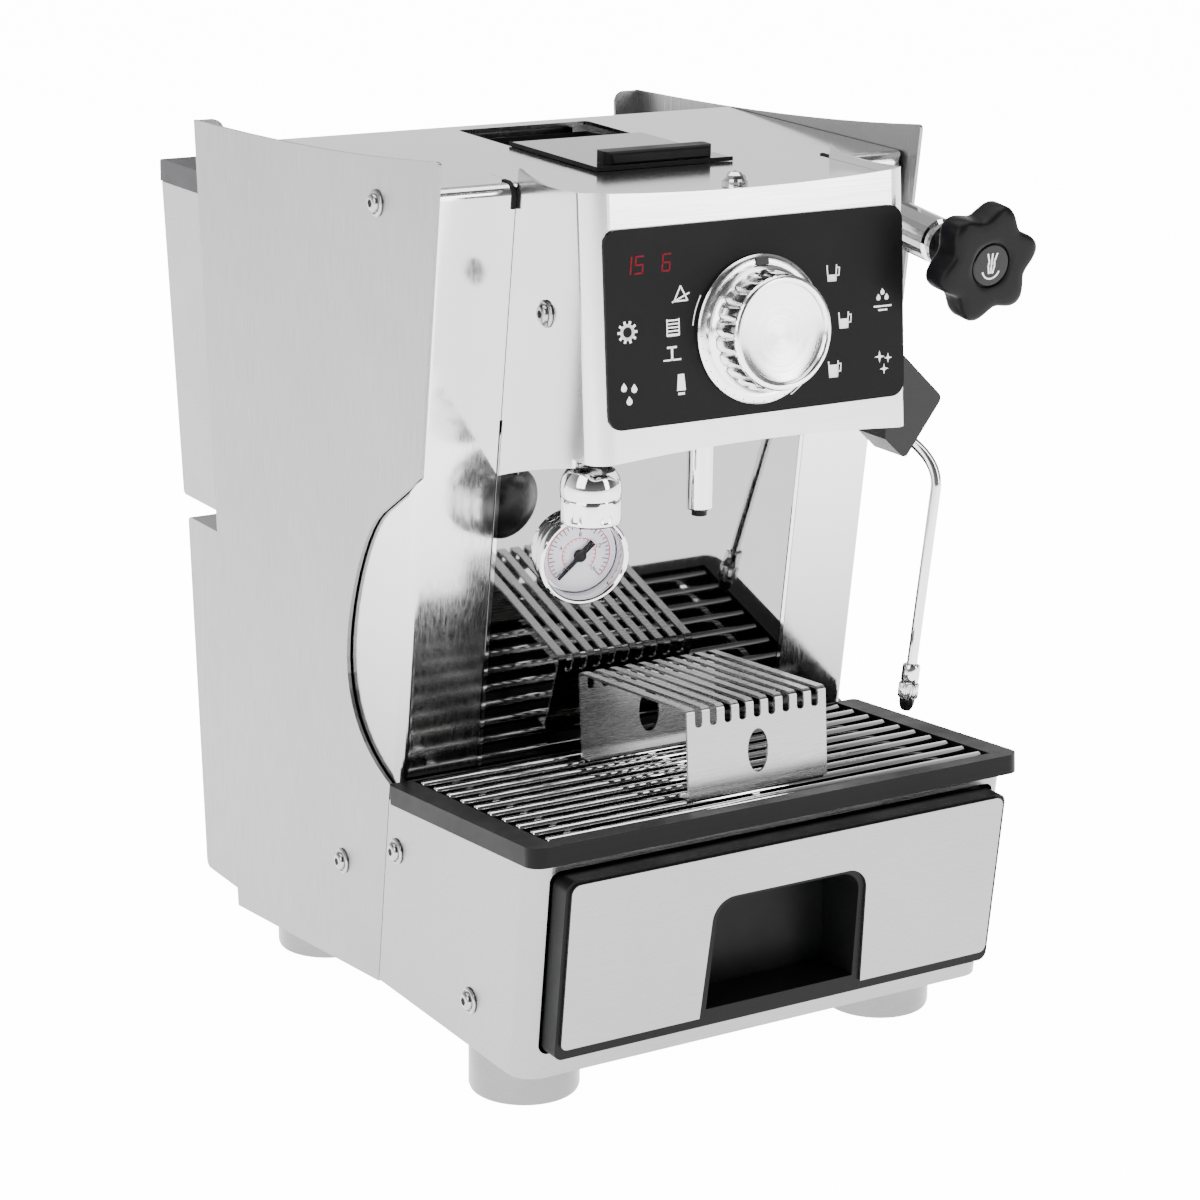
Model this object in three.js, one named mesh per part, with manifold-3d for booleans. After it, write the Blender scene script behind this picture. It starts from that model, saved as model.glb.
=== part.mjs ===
// Countertop espresso machine with a built-in grinder, a steam wand and a grounds drawer.
// Millimetres, +Z up. The front faces -Y and +X is to the right of a person who faces it.
// While the parts are made, x = 0 is the middle plane, y = 0 is the front edge of the drip tray
// and z = 0 is the surface the feet stand on. The last lines move the origin to the middle of the
// bounding box, at the height of the feet.
import * as THREE from 'three';
import { mergeVertices } from 'three/addons/utils/BufferGeometryUtils.js';
import Module from 'manifold-3d';

const wasm = await Module();
wasm.setup();

// ---------------------------------------------------------------- driving dimensions
const rad = THREE.MathUtils.degToRad;
const HALF_WIDTH = 150; // outer faces of the side panels
const SHEET = 2; // steel sheet of the body
const THIN_SHEET = 1.5; // steel sheet of the drawer front and the cup stand
const GAP = 0.3; // clearance between pieces that touch
const BASE_BOTTOM = 29.7; // underside of the base
const BASE_FRONT = 18.8; // front of the base at its bottom edge
const BASE_LEAN = rad(6.3); // base front and drawer, top towards the user
const COLUMN_LEAN = rad(7.1); // columns and splash panel, top towards the user
const HEAD_LEAN = rad(4.76); // front of the head, top away from the user
const TRAY_TILT = rad(4.8); // drip tray, down to the rear
const REAR_LEAN = rad(4.75); // rear edges of the side panels, top to the rear
const COVER_RISE = rad(0.96); // top cover, up to the rear
const RIM_TOP = 164.8; // top of the drip tray at its front edge
const RIM_THICKNESS = 10.7;
const RIM_HALF = 154.5;
const TRAY_DEPTH = 157;
const COLUMN_HALF = 147; // outer faces of the columns
const COLUMN_INNER = 98.9; // inner edges of the columns
const COLUMN_FOOT = 126; // lower end of the column fronts, behind the tray
const HEAD_HALF = 98;
const HEAD_BOTTOM = 346.7; // lower front corners of the head
const HEAD_FRONT = 35.4; // front of the head at HEAD_BOTTOM
const COVER_TOP = 478.9; // top cover at y = COVER_Y
const COVER_Y = 109;
const COVER_REAR = 294;
const PANEL_REAR_FOOT = [360.9, 10.4]; // rear lower corner of the side panels (y, z)
const FOOT_RADIUS = 30;
const HOPPER_HALF = 42.3;
const HOPPER_REAR = 281.8;
const GRINDER_Y = 208;
const SPOUT_Y = 91;
const COLUMN_BEND_Y = 123; // where the column fronts bend into the top cover
const BEYOND = 5; // how far cutting tools reach past a face

const columnY = (z) => 160.8 - Math.tan(COLUMN_LEAN) * (z - 130);
const seamY = (z) => 176.9 - Math.tan(COLUMN_LEAN) * (z - BASE_BOTTOM);
const headY = (z) => HEAD_FRONT + Math.tan(HEAD_LEAN) * (z - HEAD_BOTTOM);
const rearY = (z) => PANEL_REAR_FOOT[0] + Math.tan(REAR_LEAN) * (z - PANEL_REAR_FOOT[1]);
const rimZ = (y) => RIM_TOP - Math.tan(TRAY_TILT) * y;
const coverZ = (y) => COVER_TOP + Math.tan(COVER_RISE) * (y - COVER_Y);
const undersideZ = (y) => 354 - 0.251 * (y - 39);

// ---------------------------------------------------------------- materials
function finish(color, roughness, metalness) {
  return new THREE.MeshStandardMaterial({ color, roughness, metalness });
}
const MIRROR_STEEL = finish(0xd8dadb, 0.06, 1);
const POLISHED_STEEL = finish(0xcfd1d2, 0.18, 1);
const BRUSHED_STEEL = finish(0xc4c6c7, 0.32, 1);
const CHROME = finish(0xe6e8ea, 0.05, 1);
const ALUMINIUM = finish(0xb9bbbd, 0.3, 1);
const BRASS = finish(0xb08d4a, 0.35, 1);
const BLACK_PLASTIC = finish(0x17181a, 0.45, 0);
const GLOSS_BLACK = finish(0x0f1012, 0.2, 0);
const GREY_PLASTIC = finish(0x4a4d50, 0.5, 0);
const SMOKE_PLASTIC = finish(0x9ea3a6, 0.25, 0);
const WHITE_PLASTIC = finish(0xe9e6ef, 0.5, 0);
const CIRCUIT_GREEN = finish(0x1f5a3a, 0.6, 0);

// ---------------------------------------------------------------- geometry helpers
const P = (u, v) => new THREE.Vector2(u, v);

// A clean indexed copy: shared vertices merged, empty triangles dropped, faces pointing out.
function closed(geometry) {
  const copy = geometry.clone();
  copy.deleteAttribute('normal');
  copy.deleteAttribute('uv');
  const merged = mergeVertices(copy, 1e-4);
  const position = merged.getAttribute('position');
  const index = merged.getIndex();
  const triangles = [];
  const a = new THREE.Vector3();
  const b = new THREE.Vector3();
  const c = new THREE.Vector3();
  let volume = 0;
  for (let i = 0; i < index.count; i += 3) {
    const [p, q, r] = [index.getX(i), index.getX(i + 1), index.getX(i + 2)];
    if (p === q || q === r || r === p) continue;
    triangles.push(p, q, r);
    a.fromBufferAttribute(position, p);
    b.fromBufferAttribute(position, q);
    c.fromBufferAttribute(position, r);
    volume += a.dot(b.cross(c));
  }
  if (volume < 0) triangles.reverse();
  merged.setIndex(triangles);
  return merged;
}

function toSolid(geometry) {
  const clean = closed(geometry);
  const vertProperties = new Float32Array(clean.getAttribute('position').array);
  const triVerts = new Uint32Array(clean.getIndex().array);
  return new wasm.Manifold(new wasm.Mesh({ numProp: 3, vertProperties, triVerts }));
}

function toGeometry(solid) {
  const mesh = solid.getMesh();
  const geometry = new THREE.BufferGeometry();
  geometry.setAttribute('position', new THREE.BufferAttribute(new Float32Array(mesh.vertProperties), 3));
  geometry.setIndex(Array.from(mesh.triVerts));
  return geometry;
}

function combine(operation, first, rest) {
  return toGeometry(rest.reduce((solid, next) => solid[operation](toSolid(next)), toSolid(first)));
}
const join = (first, ...rest) => combine('add', first, rest);
const cut = (first, ...rest) => combine('subtract', first, rest);
const meet = (first, ...rest) => combine('intersect', first, rest);

function prism(shape, depth, segments = 6) {
  return new THREE.ExtrudeGeometry(shape, { depth, bevelEnabled: false, curveSegments: segments });
}

// Prisms with their outline in the XY, YZ or XZ plane.
function prismZ(shape, z0, z1, segments) {
  return prism(shape, z1 - z0, segments).translate(0, 0, z0);
}
function prismX(shape, x0, x1, segments) {
  const turn = new THREE.Matrix4().makeBasis(
    new THREE.Vector3(0, 1, 0), new THREE.Vector3(0, 0, 1), new THREE.Vector3(1, 0, 0));
  return prism(shape, x1 - x0, segments).applyMatrix4(turn).translate(x0, 0, 0);
}
function prismY(shape, y0, y1, segments) {
  const turn = new THREE.Matrix4().makeBasis(
    new THREE.Vector3(1, 0, 0), new THREE.Vector3(0, 0, 1), new THREE.Vector3(0, -1, 0));
  return prism(shape, y1 - y0, segments).applyMatrix4(turn).translate(0, y1, 0);
}

const polygon = (...points) => new THREE.Shape(points.map(([u, v]) => P(u, v)));

// A polygon whose corners are rounded: each point is [u, v] or [u, v, radius].
function rounded(...points) {
  const shape = new THREE.Shape();
  const count = points.length;
  points.forEach(([u, v, radius = 0], i) => {
    const here = P(u, v);
    const [pu, pv] = points[(i + count - 1) % count];
    const [nu, nv] = points[(i + 1) % count];
    const before = P(pu, pv).sub(here).normalize();
    const after = P(nu, nv).sub(here).normalize();
    const half = Math.acos(THREE.MathUtils.clamp(before.dot(after), -1, 1)) / 2;
    const reach = radius / Math.tan(half);
    const start = here.clone().addScaledVector(before, reach);
    const end = here.clone().addScaledVector(after, reach);
    if (i === 0) shape.moveTo(start.x, start.y);
    else shape.lineTo(start.x, start.y);
    if (radius === 0) return;
    const centre = before.clone().add(after).normalize().multiplyScalar(radius / Math.sin(half)).add(here);
    const from = Math.atan2(start.y - centre.y, start.x - centre.x);
    const to = Math.atan2(end.y - centre.y, end.x - centre.x);
    const clockwise = before.cross(after) > 0;
    shape.absarc(centre.x, centre.y, radius, from, to, clockwise);
  });
  shape.closePath();
  return shape;
}

function box(x0, x1, y0, y1, z0, z1) {
  const geometry = new THREE.BoxGeometry(x1 - x0, y1 - y0, z1 - z0);
  return geometry.translate((x0 + x1) / 2, (y0 + y1) / 2, (z0 + z1) / 2);
}

// A body turned about +Z from a profile of [radius, height] points.
function turned(profile, segments = 32) {
  const lathe = new THREE.LatheGeometry(profile.map(([r, z]) => P(r, z)), segments);
  return lathe.rotateX(Math.PI / 2);
}
// The same about -Y: heights run towards the user.
const turnedForward = (profile, segments) => turned(profile, segments).rotateX(Math.PI / 2);
const rod = (radius, z0, z1, segments = 24) => (
  turned([[0, z0], [radius, z0], [radius, z1], [0, z1]], segments));

// y moves by slope for each millimetre of height above z0.
function shearY(geometry, slope, z0) {
  const shear = new THREE.Matrix4().set(1, 0, 0, 0, 0, 1, slope, -slope * z0, 0, 0, 1, 0, 0, 0, 0, 1);
  return geometry.applyMatrix4(shear);
}
const mirrored = (geometry) => geometry.clone().scale(-1, 1, 1);

// Frames that lie on the leaning faces: local -Y is the face's outward direction.
function frameAt(x, y, z, turnX, turnZ = 0) {
  const group = new THREE.Group();
  group.position.set(x, y, z);
  group.rotation.set(turnX, 0, turnZ);
  group.updateMatrix();
  return group;
}
const VALVE_X = 123;
const VALVE_Z = 450.3;
const trayFrame = frameAt(0, 0, RIM_TOP, -TRAY_TILT);
const headFrame = frameAt(0, HEAD_FRONT, HEAD_BOTTOM, -HEAD_LEAN);
const valveFrame = frameAt(VALVE_X, columnY(VALVE_Z), VALVE_Z, COLUMN_LEAN);
const gaugeFrame = frameAt(-74.5, 87.5, 284.5, rad(5), rad(-10));
const HOUSING_LEAN = Math.atan(15.8 / 216);
const SOCKET_Z = 60; // height of the power inlet and the switch
const HOUSING_REAR = 427.6; // rear face of the housing at HOUSING_LOW
const HOUSING_LOW = 17;
const housingFrame = frameAt(
  0, HOUSING_REAR + Math.tan(HOUSING_LEAN) * (SOCKET_Z - HOUSING_LOW), SOCKET_Z, -HOUSING_LEAN);

const machine = new THREE.Group();
function add(name, geometry, material, parent = machine) {
  const mesh = new THREE.Mesh(closed(geometry), material);
  mesh.name = name;
  parent.add(mesh);
  return mesh;
}
machine.add(trayFrame, headFrame, valveFrame, gaugeFrame, housingFrame);

// ---------------------------------------------------------------- base
const OPENING_HALF = 140.5;
const OPENING_LOW = 43.5;
const OPENING_HIGH = 148.5;

function baseWrap() {
  const bend = 14;
  const rear = 200;
  const outline = rounded(
    [-HALF_WIDTH, rear], [-HALF_WIDTH, BASE_FRONT, bend], [HALF_WIDTH, BASE_FRONT, bend], [HALF_WIDTH, rear],
    [HALF_WIDTH - SHEET, rear], [HALF_WIDTH - SHEET, BASE_FRONT + SHEET, bend - SHEET],
    [SHEET - HALF_WIDTH, BASE_FRONT + SHEET, bend - SHEET], [SHEET - HALF_WIDTH, rear]);
  const wrap = shearY(prismZ(outline, BASE_BOTTOM, 175), -Math.tan(BASE_LEAN), BASE_BOTTOM);
  const rimUnderside = (y) => rimZ(y) - RIM_THICKNESS - GAP;
  const aboveTray = prismX(polygon(
    [-30, rimUnderside(-30)], [230, rimUnderside(230)], [230, 250], [-30, 250]), -160, 160);
  const behindSeam = prismX(polygon([seamY(20), 20], [260, 20], [260, 180], [seamY(180), 180]), -160, 160);
  const opening = prismY(rounded(
    [-OPENING_HALF, OPENING_LOW, 6], [OPENING_HALF, OPENING_LOW, 6],
    [OPENING_HALF, OPENING_HIGH, 6], [-OPENING_HALF, OPENING_HIGH, 6]), -30, 60);
  return cut(wrap, aboveTray, behindSeam, opening);
}
add('base_wrap', baseWrap(), BRUSHED_STEEL);

const floorOutline = rounded([-147, 23, 14], [147, 23, 14], [147, 355], [-147, 355]);
add('chassis_floor', prismZ(floorOutline, BASE_BOTTOM, BASE_BOTTOM + THIN_SHEET, 5), BRUSHED_STEEL);

const footProfile = [[0, 0], [27.5, 0], [FOOT_RADIUS, 2.5], [FOOT_RADIUS, 28], [29, 29.4], [0, 29.4]];
const FOOT_X = 116;
for (const [row, y] of [['front', 74], ['rear', 307]]) {
  for (const [side, sign] of [['left', -1], ['right', 1]]) {
    add(`foot_${row}_${side}`, turned(footProfile, 32), ALUMINIUM).position.set(sign * FOOT_X, y, 0);
  }
}

// ---------------------------------------------------------------- side panels
function sidePanelLeft() {
  const [rearFootY, rearFootZ] = PANEL_REAR_FOOT;
  const seamGap = 0.6;
  const outline = new THREE.Shape();
  outline.moveTo(seamY(28.5) + seamGap, 28.5);
  outline.lineTo(rearFootY, rearFootZ);
  outline.lineTo(rearY(479.6), 479.6);
  outline.quadraticCurveTo(230, 481.5, 109, 495);
  outline.quadraticCurveTo(105.4, 495.4, 105.6, 492);
  outline.lineTo(126, 328);
  outline.lineTo(171, 299);
  outline.bezierCurveTo(192, 285, 212.5, 238, 212.5, 208);
  outline.bezierCurveTo(212.5, 175, 190, 158, seamY(149) + seamGap, 149);
  outline.closePath();
  const sheet = prismX(outline, -HALF_WIDTH, SHEET - HALF_WIDTH, 10);
  const flangeTop = 479.4;
  const flange = prismY(rounded(
    [-HALF_WIDTH + 0.5, 12], [-132, 12, 4], [-132, flangeTop, 7], [-HALF_WIDTH + 0.5, flangeTop]), -SHEET, 0);
  shearY(flange, Math.tan(REAR_LEAN), rearFootZ).translate(0, rearFootY, 0);
  return join(sheet, flange);
}
const leftPanel = sidePanelLeft();
add('side_panel_left', leftPanel, BRUSHED_STEEL);
add('side_panel_right', mirrored(leftPanel), BRUSHED_STEEL);

// ---------------------------------------------------------------- body shell: columns, sides and top
function bodyBlock(inset) {
  const side = COLUMN_HALF - inset;
  const bend = 6 - inset;
  const low = 32;
  const top = coverZ(COVER_Y) - inset;
  const rear = COVER_REAR - inset;
  const front = columnY(low) + inset;
  const plan = rounded([-side, front, bend], [side, front, bend], [side, rear], [-side, rear]);
  const tube = shearY(prismZ(plan, low, 500, 5), -Math.tan(COLUMN_LEAN), low);
  const frontTop = columnY(top) + inset;
  const profile = rounded(
    [front, low - inset], [frontTop, top, bend], [rear, coverZ(rear) - inset], [rear, low - inset]);
  const rearFill = box(-side, side, 200, rear, low - inset, 500);
  return meet(join(tube, rearFill), prismX(profile, -200, 200, 5));
}

function bodyShell() {
  const under = coverZ(COLUMN_BEND_Y) - SHEET;
  const hollow = bodyBlock(SHEET);
  const openBottom = box(-145, 145, 130, 300, 20, 60);
  const openRear = box(-145, 145, 285, 300, 20, 466);
  const openFront = box(-COLUMN_INNER, COLUMN_INNER, 60, 200, 20, under);
  const behindTray = box(-144.9, 144.9, 60, 200, 20, COLUMN_FOOT);
  const shell = cut(bodyBlock(0), hollow, openBottom, openRear, openFront, behindTray);
  const tongueHalf = HEAD_HALF - SHEET - GAP;
  const tongueFront = headY(COVER_TOP) + SHEET + 0.8;
  const tonguePlan = prismZ(rounded(
    [-tongueHalf, tongueFront, 11], [tongueHalf, tongueFront, 11],
    [tongueHalf, 150], [-tongueHalf, 150]), 460, 500);
  const tongue = meet(tonguePlan, prismX(polygon(
    [40, coverZ(40) - SHEET], [40, coverZ(40)], [160, coverZ(160)], [160, coverZ(160) - SHEET]), -100, 100));
  const beanOpening = prismZ(rounded(
    [-HOPPER_HALF, 150, 3], [HOPPER_HALF, 150, 3],
    [HOPPER_HALF, HOPPER_REAR, 3], [-HOPPER_HALF, HOPPER_REAR, 3]), 450, 500);
  const nutHole = rod(3.2, 460, 500, 16).translate(0, 64, 0);
  return cut(join(shell, tongue), beanOpening, nutHole);
}
add('body_shell', bodyShell(), POLISHED_STEEL);

const SPLASH_HALF = COLUMN_INNER - 0.6;
const splash = prismX(polygon(
  [columnY(COLUMN_FOOT), COLUMN_FOOT], [columnY(345), 345],
  [columnY(345) + SHEET, 345], [columnY(COLUMN_FOOT) + SHEET, COLUMN_FOOT]), -SPLASH_HALF, SPLASH_HALF);
add('splash_panel', splash, MIRROR_STEEL);

// ---------------------------------------------------------------- head
const DIAL_S = 61.9; // height of the dial's axis along the head's front face
const SHAFT_RADIUS = 4;
const SHAFT_HOLE = SHAFT_RADIUS + 0.6;

function headShell() {
  const bend = 12;
  const rear = 190;
  const outline = rounded(
    [-HEAD_HALF, rear], [-HEAD_HALF, HEAD_FRONT, bend], [HEAD_HALF, HEAD_FRONT, bend], [HEAD_HALF, rear],
    [HEAD_HALF - SHEET, rear], [HEAD_HALF - SHEET, HEAD_FRONT + SHEET, bend - SHEET],
    [SHEET - HEAD_HALF, HEAD_FRONT + SHEET, bend - SHEET], [SHEET - HEAD_HALF, rear]);
  const wrap = shearY(prismZ(outline, 312, 496), Math.tan(HEAD_LEAN), HEAD_BOTTOM);
  const seam = (z) => columnY(z) - GAP;
  const behind = prismX(polygon([seam(300), 300], [300, 300], [300, 510], [seam(510), 510]), -120, 120);
  const below = new THREE.Shape();
  below.moveTo(10, 300);
  below.lineTo(200, 300);
  below.lineTo(200, 321);
  below.lineTo(137, 321);
  below.quadraticCurveTo(97, 334.5, 45, 345);
  below.lineTo(10, HEAD_BOTTOM);
  below.closePath();
  const above = new THREE.Shape();
  above.moveTo(10, 510);
  above.lineTo(10, 484);
  above.lineTo(47, 484);
  above.quadraticCurveTo(66, 481.8, 88, 482.2);
  above.quadraticCurveTo(108, 483, 121, 489);
  above.quadraticCurveTo(131, 492.5, 132, 482);
  above.lineTo(200, 482);
  above.lineTo(200, 510);
  above.closePath();
  const arch = (z0, rise, z1) => {
    const shape = new THREE.Shape();
    shape.moveTo(-HEAD_HALF, z0);
    shape.quadraticCurveTo(0, z0 + 2 * rise, HEAD_HALF, z0);
    shape.lineTo(HEAD_HALF, z1);
    shape.lineTo(-HEAD_HALF, z1);
    shape.closePath();
    return prismY(shape, 20, 60, 14);
  };
  const shaftHole = turnedForward([[0, -20], [SHAFT_HOLE, -20], [SHAFT_HOLE, 20], [0, 20]], 20);
  shaftHole.translate(0, 0, DIAL_S).applyMatrix4(headFrame.matrix);
  return cut(wrap, behind, prismX(below, -120, 120), prismX(above, -120, 120, 8),
    arch(HEAD_BOTTOM, 4.2, 310), arch(484, -3.6, 520), shaftHole);
}
add('head_shell', headShell(), POLISHED_STEEL);

function headUnderside() {
  const front = 39.4;
  const rear = 133.5;
  const plate = prismX(polygon(
    [front, undersideZ(front)], [rear, undersideZ(rear)],
    [rear, undersideZ(rear) + THIN_SHEET], [front, undersideZ(front) + THIN_SHEET]), -95.6, 95.6);
  const plan = prismZ(rounded([-95.6, front, 11], [95.6, front, 11], [95.6, 150], [-95.6, 150]), 300, 380);
  return cut(meet(plate, plan), rod(7.8, 300, 380).translate(0, SPOUT_Y, 0));
}
add('head_underside', headUnderside(), POLISHED_STEEL);

const domeNut = [[0, 0], [6.8, 0], [6.8, 3], [5.8, 4.2], [4.8, 6], [2.8, 7.6], [0, 8.2]];
add('dome_nut', turned(domeNut, 18), CHROME).position.set(0, 64, coverZ(72) + 0.1);

// ---------------------------------------------------------------- controls on the head's front
const PANEL_HALF = 91.3;
const PANEL_LOW = 18.2;
const PANEL_HIGH = 119;
const PANEL_THICKNESS = 1.6;
const dialHole = new THREE.Path();
dialHole.absarc(0, DIAL_S, SHAFT_HOLE, 0, 2 * Math.PI, false);
const panelOutline = rounded(
  [-PANEL_HALF, PANEL_LOW, 8], [PANEL_HALF, PANEL_LOW, 8],
  [PANEL_HALF, PANEL_HIGH, 8], [-PANEL_HALF, PANEL_HIGH, 8]);
panelOutline.holes.push(dialHole);
add('control_panel', prismY(panelOutline, -GAP - PANEL_THICKNESS, -GAP, 5), GLOSS_BLACK, headFrame);

add('control_board', box(-80, 80, 8, 9.6, 28, 108), CIRCUIT_GREEN, headFrame);

const dialProfile = [
  [0, -7.2], [SHAFT_RADIUS, -7.2], [SHAFT_RADIUS, 2.4], [38.5, 2.4], [38.5, 4.6], [35.5, 6.8],
  [31, 7.4], [29.8, 24], [28.6, 25.6], [26.5, 25.6], [20, 24.2], [0, 22.6]];
add('dial_knob', turnedForward(dialProfile, 36), CHROME, headFrame).position.set(0, 0, DIAL_S);

// ---------------------------------------------------------------- bean hopper and its lid
function beanHopper() {
  const half = 43.6;
  const front = 134;
  const rear = 284;
  const top = 475.6;
  const low = 386;
  const outer = box(-half, half, front, rear, low, top);
  const inner = box(SHEET - half, half - SHEET, front + SHEET, rear - SHEET, low + SHEET, top + 5);
  return cut(outer, inner, rod(14, low - 5, low + 5).translate(0, GRINDER_Y, 0));
}
add('bean_hopper', beanHopper(), BLACK_PLASTIC);

const LID_FRONT = 131.5;
const LID_REAR = 222.5;
const LID_THICKNESS = 1.8;
const lidFrame = frameAt(0, 0, coverZ(0) + GAP, COVER_RISE);
machine.add(lidFrame);
const lidOutline = rounded([-42, LID_FRONT, 2], [42, LID_FRONT, 2], [42, LID_REAR, 1], [-42, LID_REAR, 1]);
add('hopper_lid', prismZ(lidOutline, 0, LID_THICKNESS, 3), GREY_PLASTIC, lidFrame);
const HANDLE_LOW = LID_THICKNESS + GAP;
const HANDLE_TOP = 8.6;
const handleSection = rounded(
  [134, HANDLE_LOW, 1], [150, HANDLE_LOW, 1], [149, HANDLE_TOP, 3], [135, HANDLE_TOP, 3]);
const handlePlan = rounded([-33.5, 134, 6], [33.5, 134, 6], [33.5, 150, 6], [-33.5, 150, 6]);
const handle = meet(prismX(handleSection, -34, 34, 4), prismZ(handlePlan, 0, 20, 5));
add('hopper_lid_handle', handle, BLACK_PLASTIC, lidFrame);

// ---------------------------------------------------------------- coffee spout and brew unit
const BORE = 1.5; // radius of the coffee's way from the brew group to the nozzle
const spoutProfile = [[BORE, 301.5], [7, 301.5], [7, 356], [BORE, 356], [BORE, 301.5]];
add('coffee_spout', turned(spoutProfile, 24), CHROME).position.set(0, SPOUT_Y, 0);
const nozzleProfile = [[BORE, 298], [4.2, 298], [4.2, 301.2], [BORE, 301.2], [BORE, 298]];
add('spout_nozzle', turned(nozzleProfile, 20), BLACK_PLASTIC).position.set(0, SPOUT_Y, 0);
const brewCup = [
  [BORE, 356.4], [7, 356.4], [7, 366], [30, 370], [30, 432], [22.4, 432], [22.4, 378],
  [BORE, 378], [BORE, 356.4]];
add('brew_group', turned(brewCup, 28), BRASS).position.set(0, SPOUT_Y, 0);
const piston = [[0, 396], [22, 396], [22, 408], [6, 408], [6, 446], [0, 446]];
add('brew_piston', turned(piston, 28), ALUMINIUM).position.set(0, SPOUT_Y, 0);

// ---------------------------------------------------------------- grinder
const motorProfile = [[0, 236], [34, 236], [36, 238], [36, 338], [26, 342], [0, 342]];
add('grinder_motor', turned(motorProfile, 28), GREY_PLASTIC).position.set(0, GRINDER_Y, 0);
const burrCone = [[0, 342.6], [6, 342.6], [6, 350], [20, 351], [9, 371], [0, 373]];
add('grinder_burr', turned(burrCone, 24), BRUSHED_STEEL).position.set(0, GRINDER_Y, 0);
const burrRing = [[22, 349], [34, 349], [34, 371], [19, 375], [19, 385.4], [15, 385.4], [15, 373], [22, 349]];
add('burr_ring', turned(burrRing, 28), BRUSHED_STEEL).position.set(0, GRINDER_Y, 0);

// ---------------------------------------------------------------- water path inside the body
const boiler = [[0, 118], [26, 120], [42, 130], [42, 290], [26, 300], [0, 302]];
add('steam_boiler', turned(boiler, 28), BRUSHED_STEEL).position.set(-90, 232, 0);
const pump = [
  [0, 66], [15, 66], [15, 84], [23, 86], [23, 146], [15, 148], [15, 172], [6, 174], [6, 186], [0, 186]];
add('water_pump', turned(pump, 24), GREY_PLASTIC).position.set(90, 240, 0);

// ---------------------------------------------------------------- steam valve, knob and wand
const valveProfile = [
  [0, GAP], [16, GAP], [16, 3.5], [10.6, 5], [10.6, 36], [12.4, 38], [12.4, 70], [9, 72],
  [6, 74], [6, 97.2], [0, 97.2]];
add('steam_valve', turnedForward(valveProfile, 24), CHROME, valveFrame);
const collarProfile = [[6.4, 75], [12.5, 75], [12.5, 77.5], [6.4, 77.5], [6.4, 75]];
add('valve_collar', turnedForward(collarProfile, 24), CHROME, valveFrame);

function starOutline(radius, lobe) {
  const points = [];
  const steps = 72;
  const firstLobe = rad(15);
  for (let i = 0; i < steps; i += 1) {
    const angle = (2 * Math.PI * i) / steps;
    const r = radius + lobe * Math.cos(6 * (angle - firstLobe));
    points.push(P(r * Math.cos(angle), r * Math.sin(angle)));
  }
  return new THREE.Shape(points);
}
add('steam_knob', prismY(starOutline(28, 3.4), -115.8, -97.8), BLACK_PLASTIC, valveFrame);

function wandHousing() {
  const wall = HEAD_HALF + 0.5;
  return prismY(rounded([wall, 389.7], [wall, 334.6], [112, 322, 3], [136, 354, 4]), 60, 85, 5);
}
add('wand_housing', wandHousing(), BLACK_PLASTIC);

const WAND_START = new THREE.Vector3(120.4, 72.5, 332.1);
const WAND_AXIS = new THREE.Vector3(0.8, 0, -0.6);
const WAND_BEND = new THREE.Vector3(134.8, 61.2, 302);
const WAND_COLLAR = new THREE.Vector3(123.1, 60.8, 204.4);
const TUBE_RADIUS = 2.9;
function wandTube() {
  const straight = WAND_COLLAR.clone().sub(WAND_BEND).normalize();
  const path = new THREE.CurvePath();
  path.add(new THREE.CubicBezierCurve3(
    WAND_START, WAND_START.clone().addScaledVector(WAND_AXIS, 15),
    WAND_BEND.clone().addScaledVector(straight, -14), WAND_BEND));
  path.add(new THREE.LineCurve3(WAND_BEND, WAND_COLLAR));
  const section = new THREE.Shape();
  section.absarc(0, 0, TUBE_RADIUS, 0, 2 * Math.PI, false);
  return new THREE.ExtrudeGeometry(section, {
    steps: 20, curveSegments: 5, bevelEnabled: false, extrudePath: path });
}
add('wand_tube', wandTube(), CHROME);

const wandTip = [
  [0, GAP], [5, GAP], [5, 10.6], [5.6, 11.2], [5.6, 19.6], [4.6, 20.4], [4, 25], [2.4, 27.2], [0, 27.2]];
const wandAlong = WAND_COLLAR.clone().sub(WAND_BEND).normalize();
const tip = add('wand_tip', turned(wandTip, 20), CHROME);
tip.position.copy(WAND_COLLAR);
tip.quaternion.setFromUnitVectors(new THREE.Vector3(0, 0, 1), wandAlong);

// ---------------------------------------------------------------- pressure gauge
const DIAL_RADIUS = 21;
const WELL_FLOOR = -7;
const gaugeCup = [
  [0, WELL_FLOOR], [DIAL_RADIUS, WELL_FLOOR], [DIAL_RADIUS, 3.4], [23.8, 3.4], [25, 2], [25, -3],
  [23.2, -4], [23.8, -5], [23.8, -9], [22.4, -10], [23, -11], [23, -15],
  [20.6, -16.5], [20.6, -22], [16, -24], [16, -29], [0, -29]];
function gaugeCase() {
  const cup = turnedForward(gaugeCup, 40).applyMatrix4(gaugeFrame.matrix);
  const stem = rod(5, 298, undersideZ(110) - 2 * GAP, 16).translate(-69, 104, 0);
  const wellProfile = [[0, WELL_FLOOR], [DIAL_RADIUS, WELL_FLOOR], [DIAL_RADIUS, 30], [0, 30]];
  const well = turnedForward(wellProfile, 40).applyMatrix4(gaugeFrame.matrix);
  return cut(join(cup, stem), well);
}
add('gauge_case', gaugeCase(), CHROME);
const gaugeDisc = [[0, -6.6], [20.6, -6.6], [20.6, -5.6], [0, -5.6]];
add('gauge_dial', turnedForward(gaugeDisc, 36), WHITE_PLASTIC, gaugeFrame);
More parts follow.
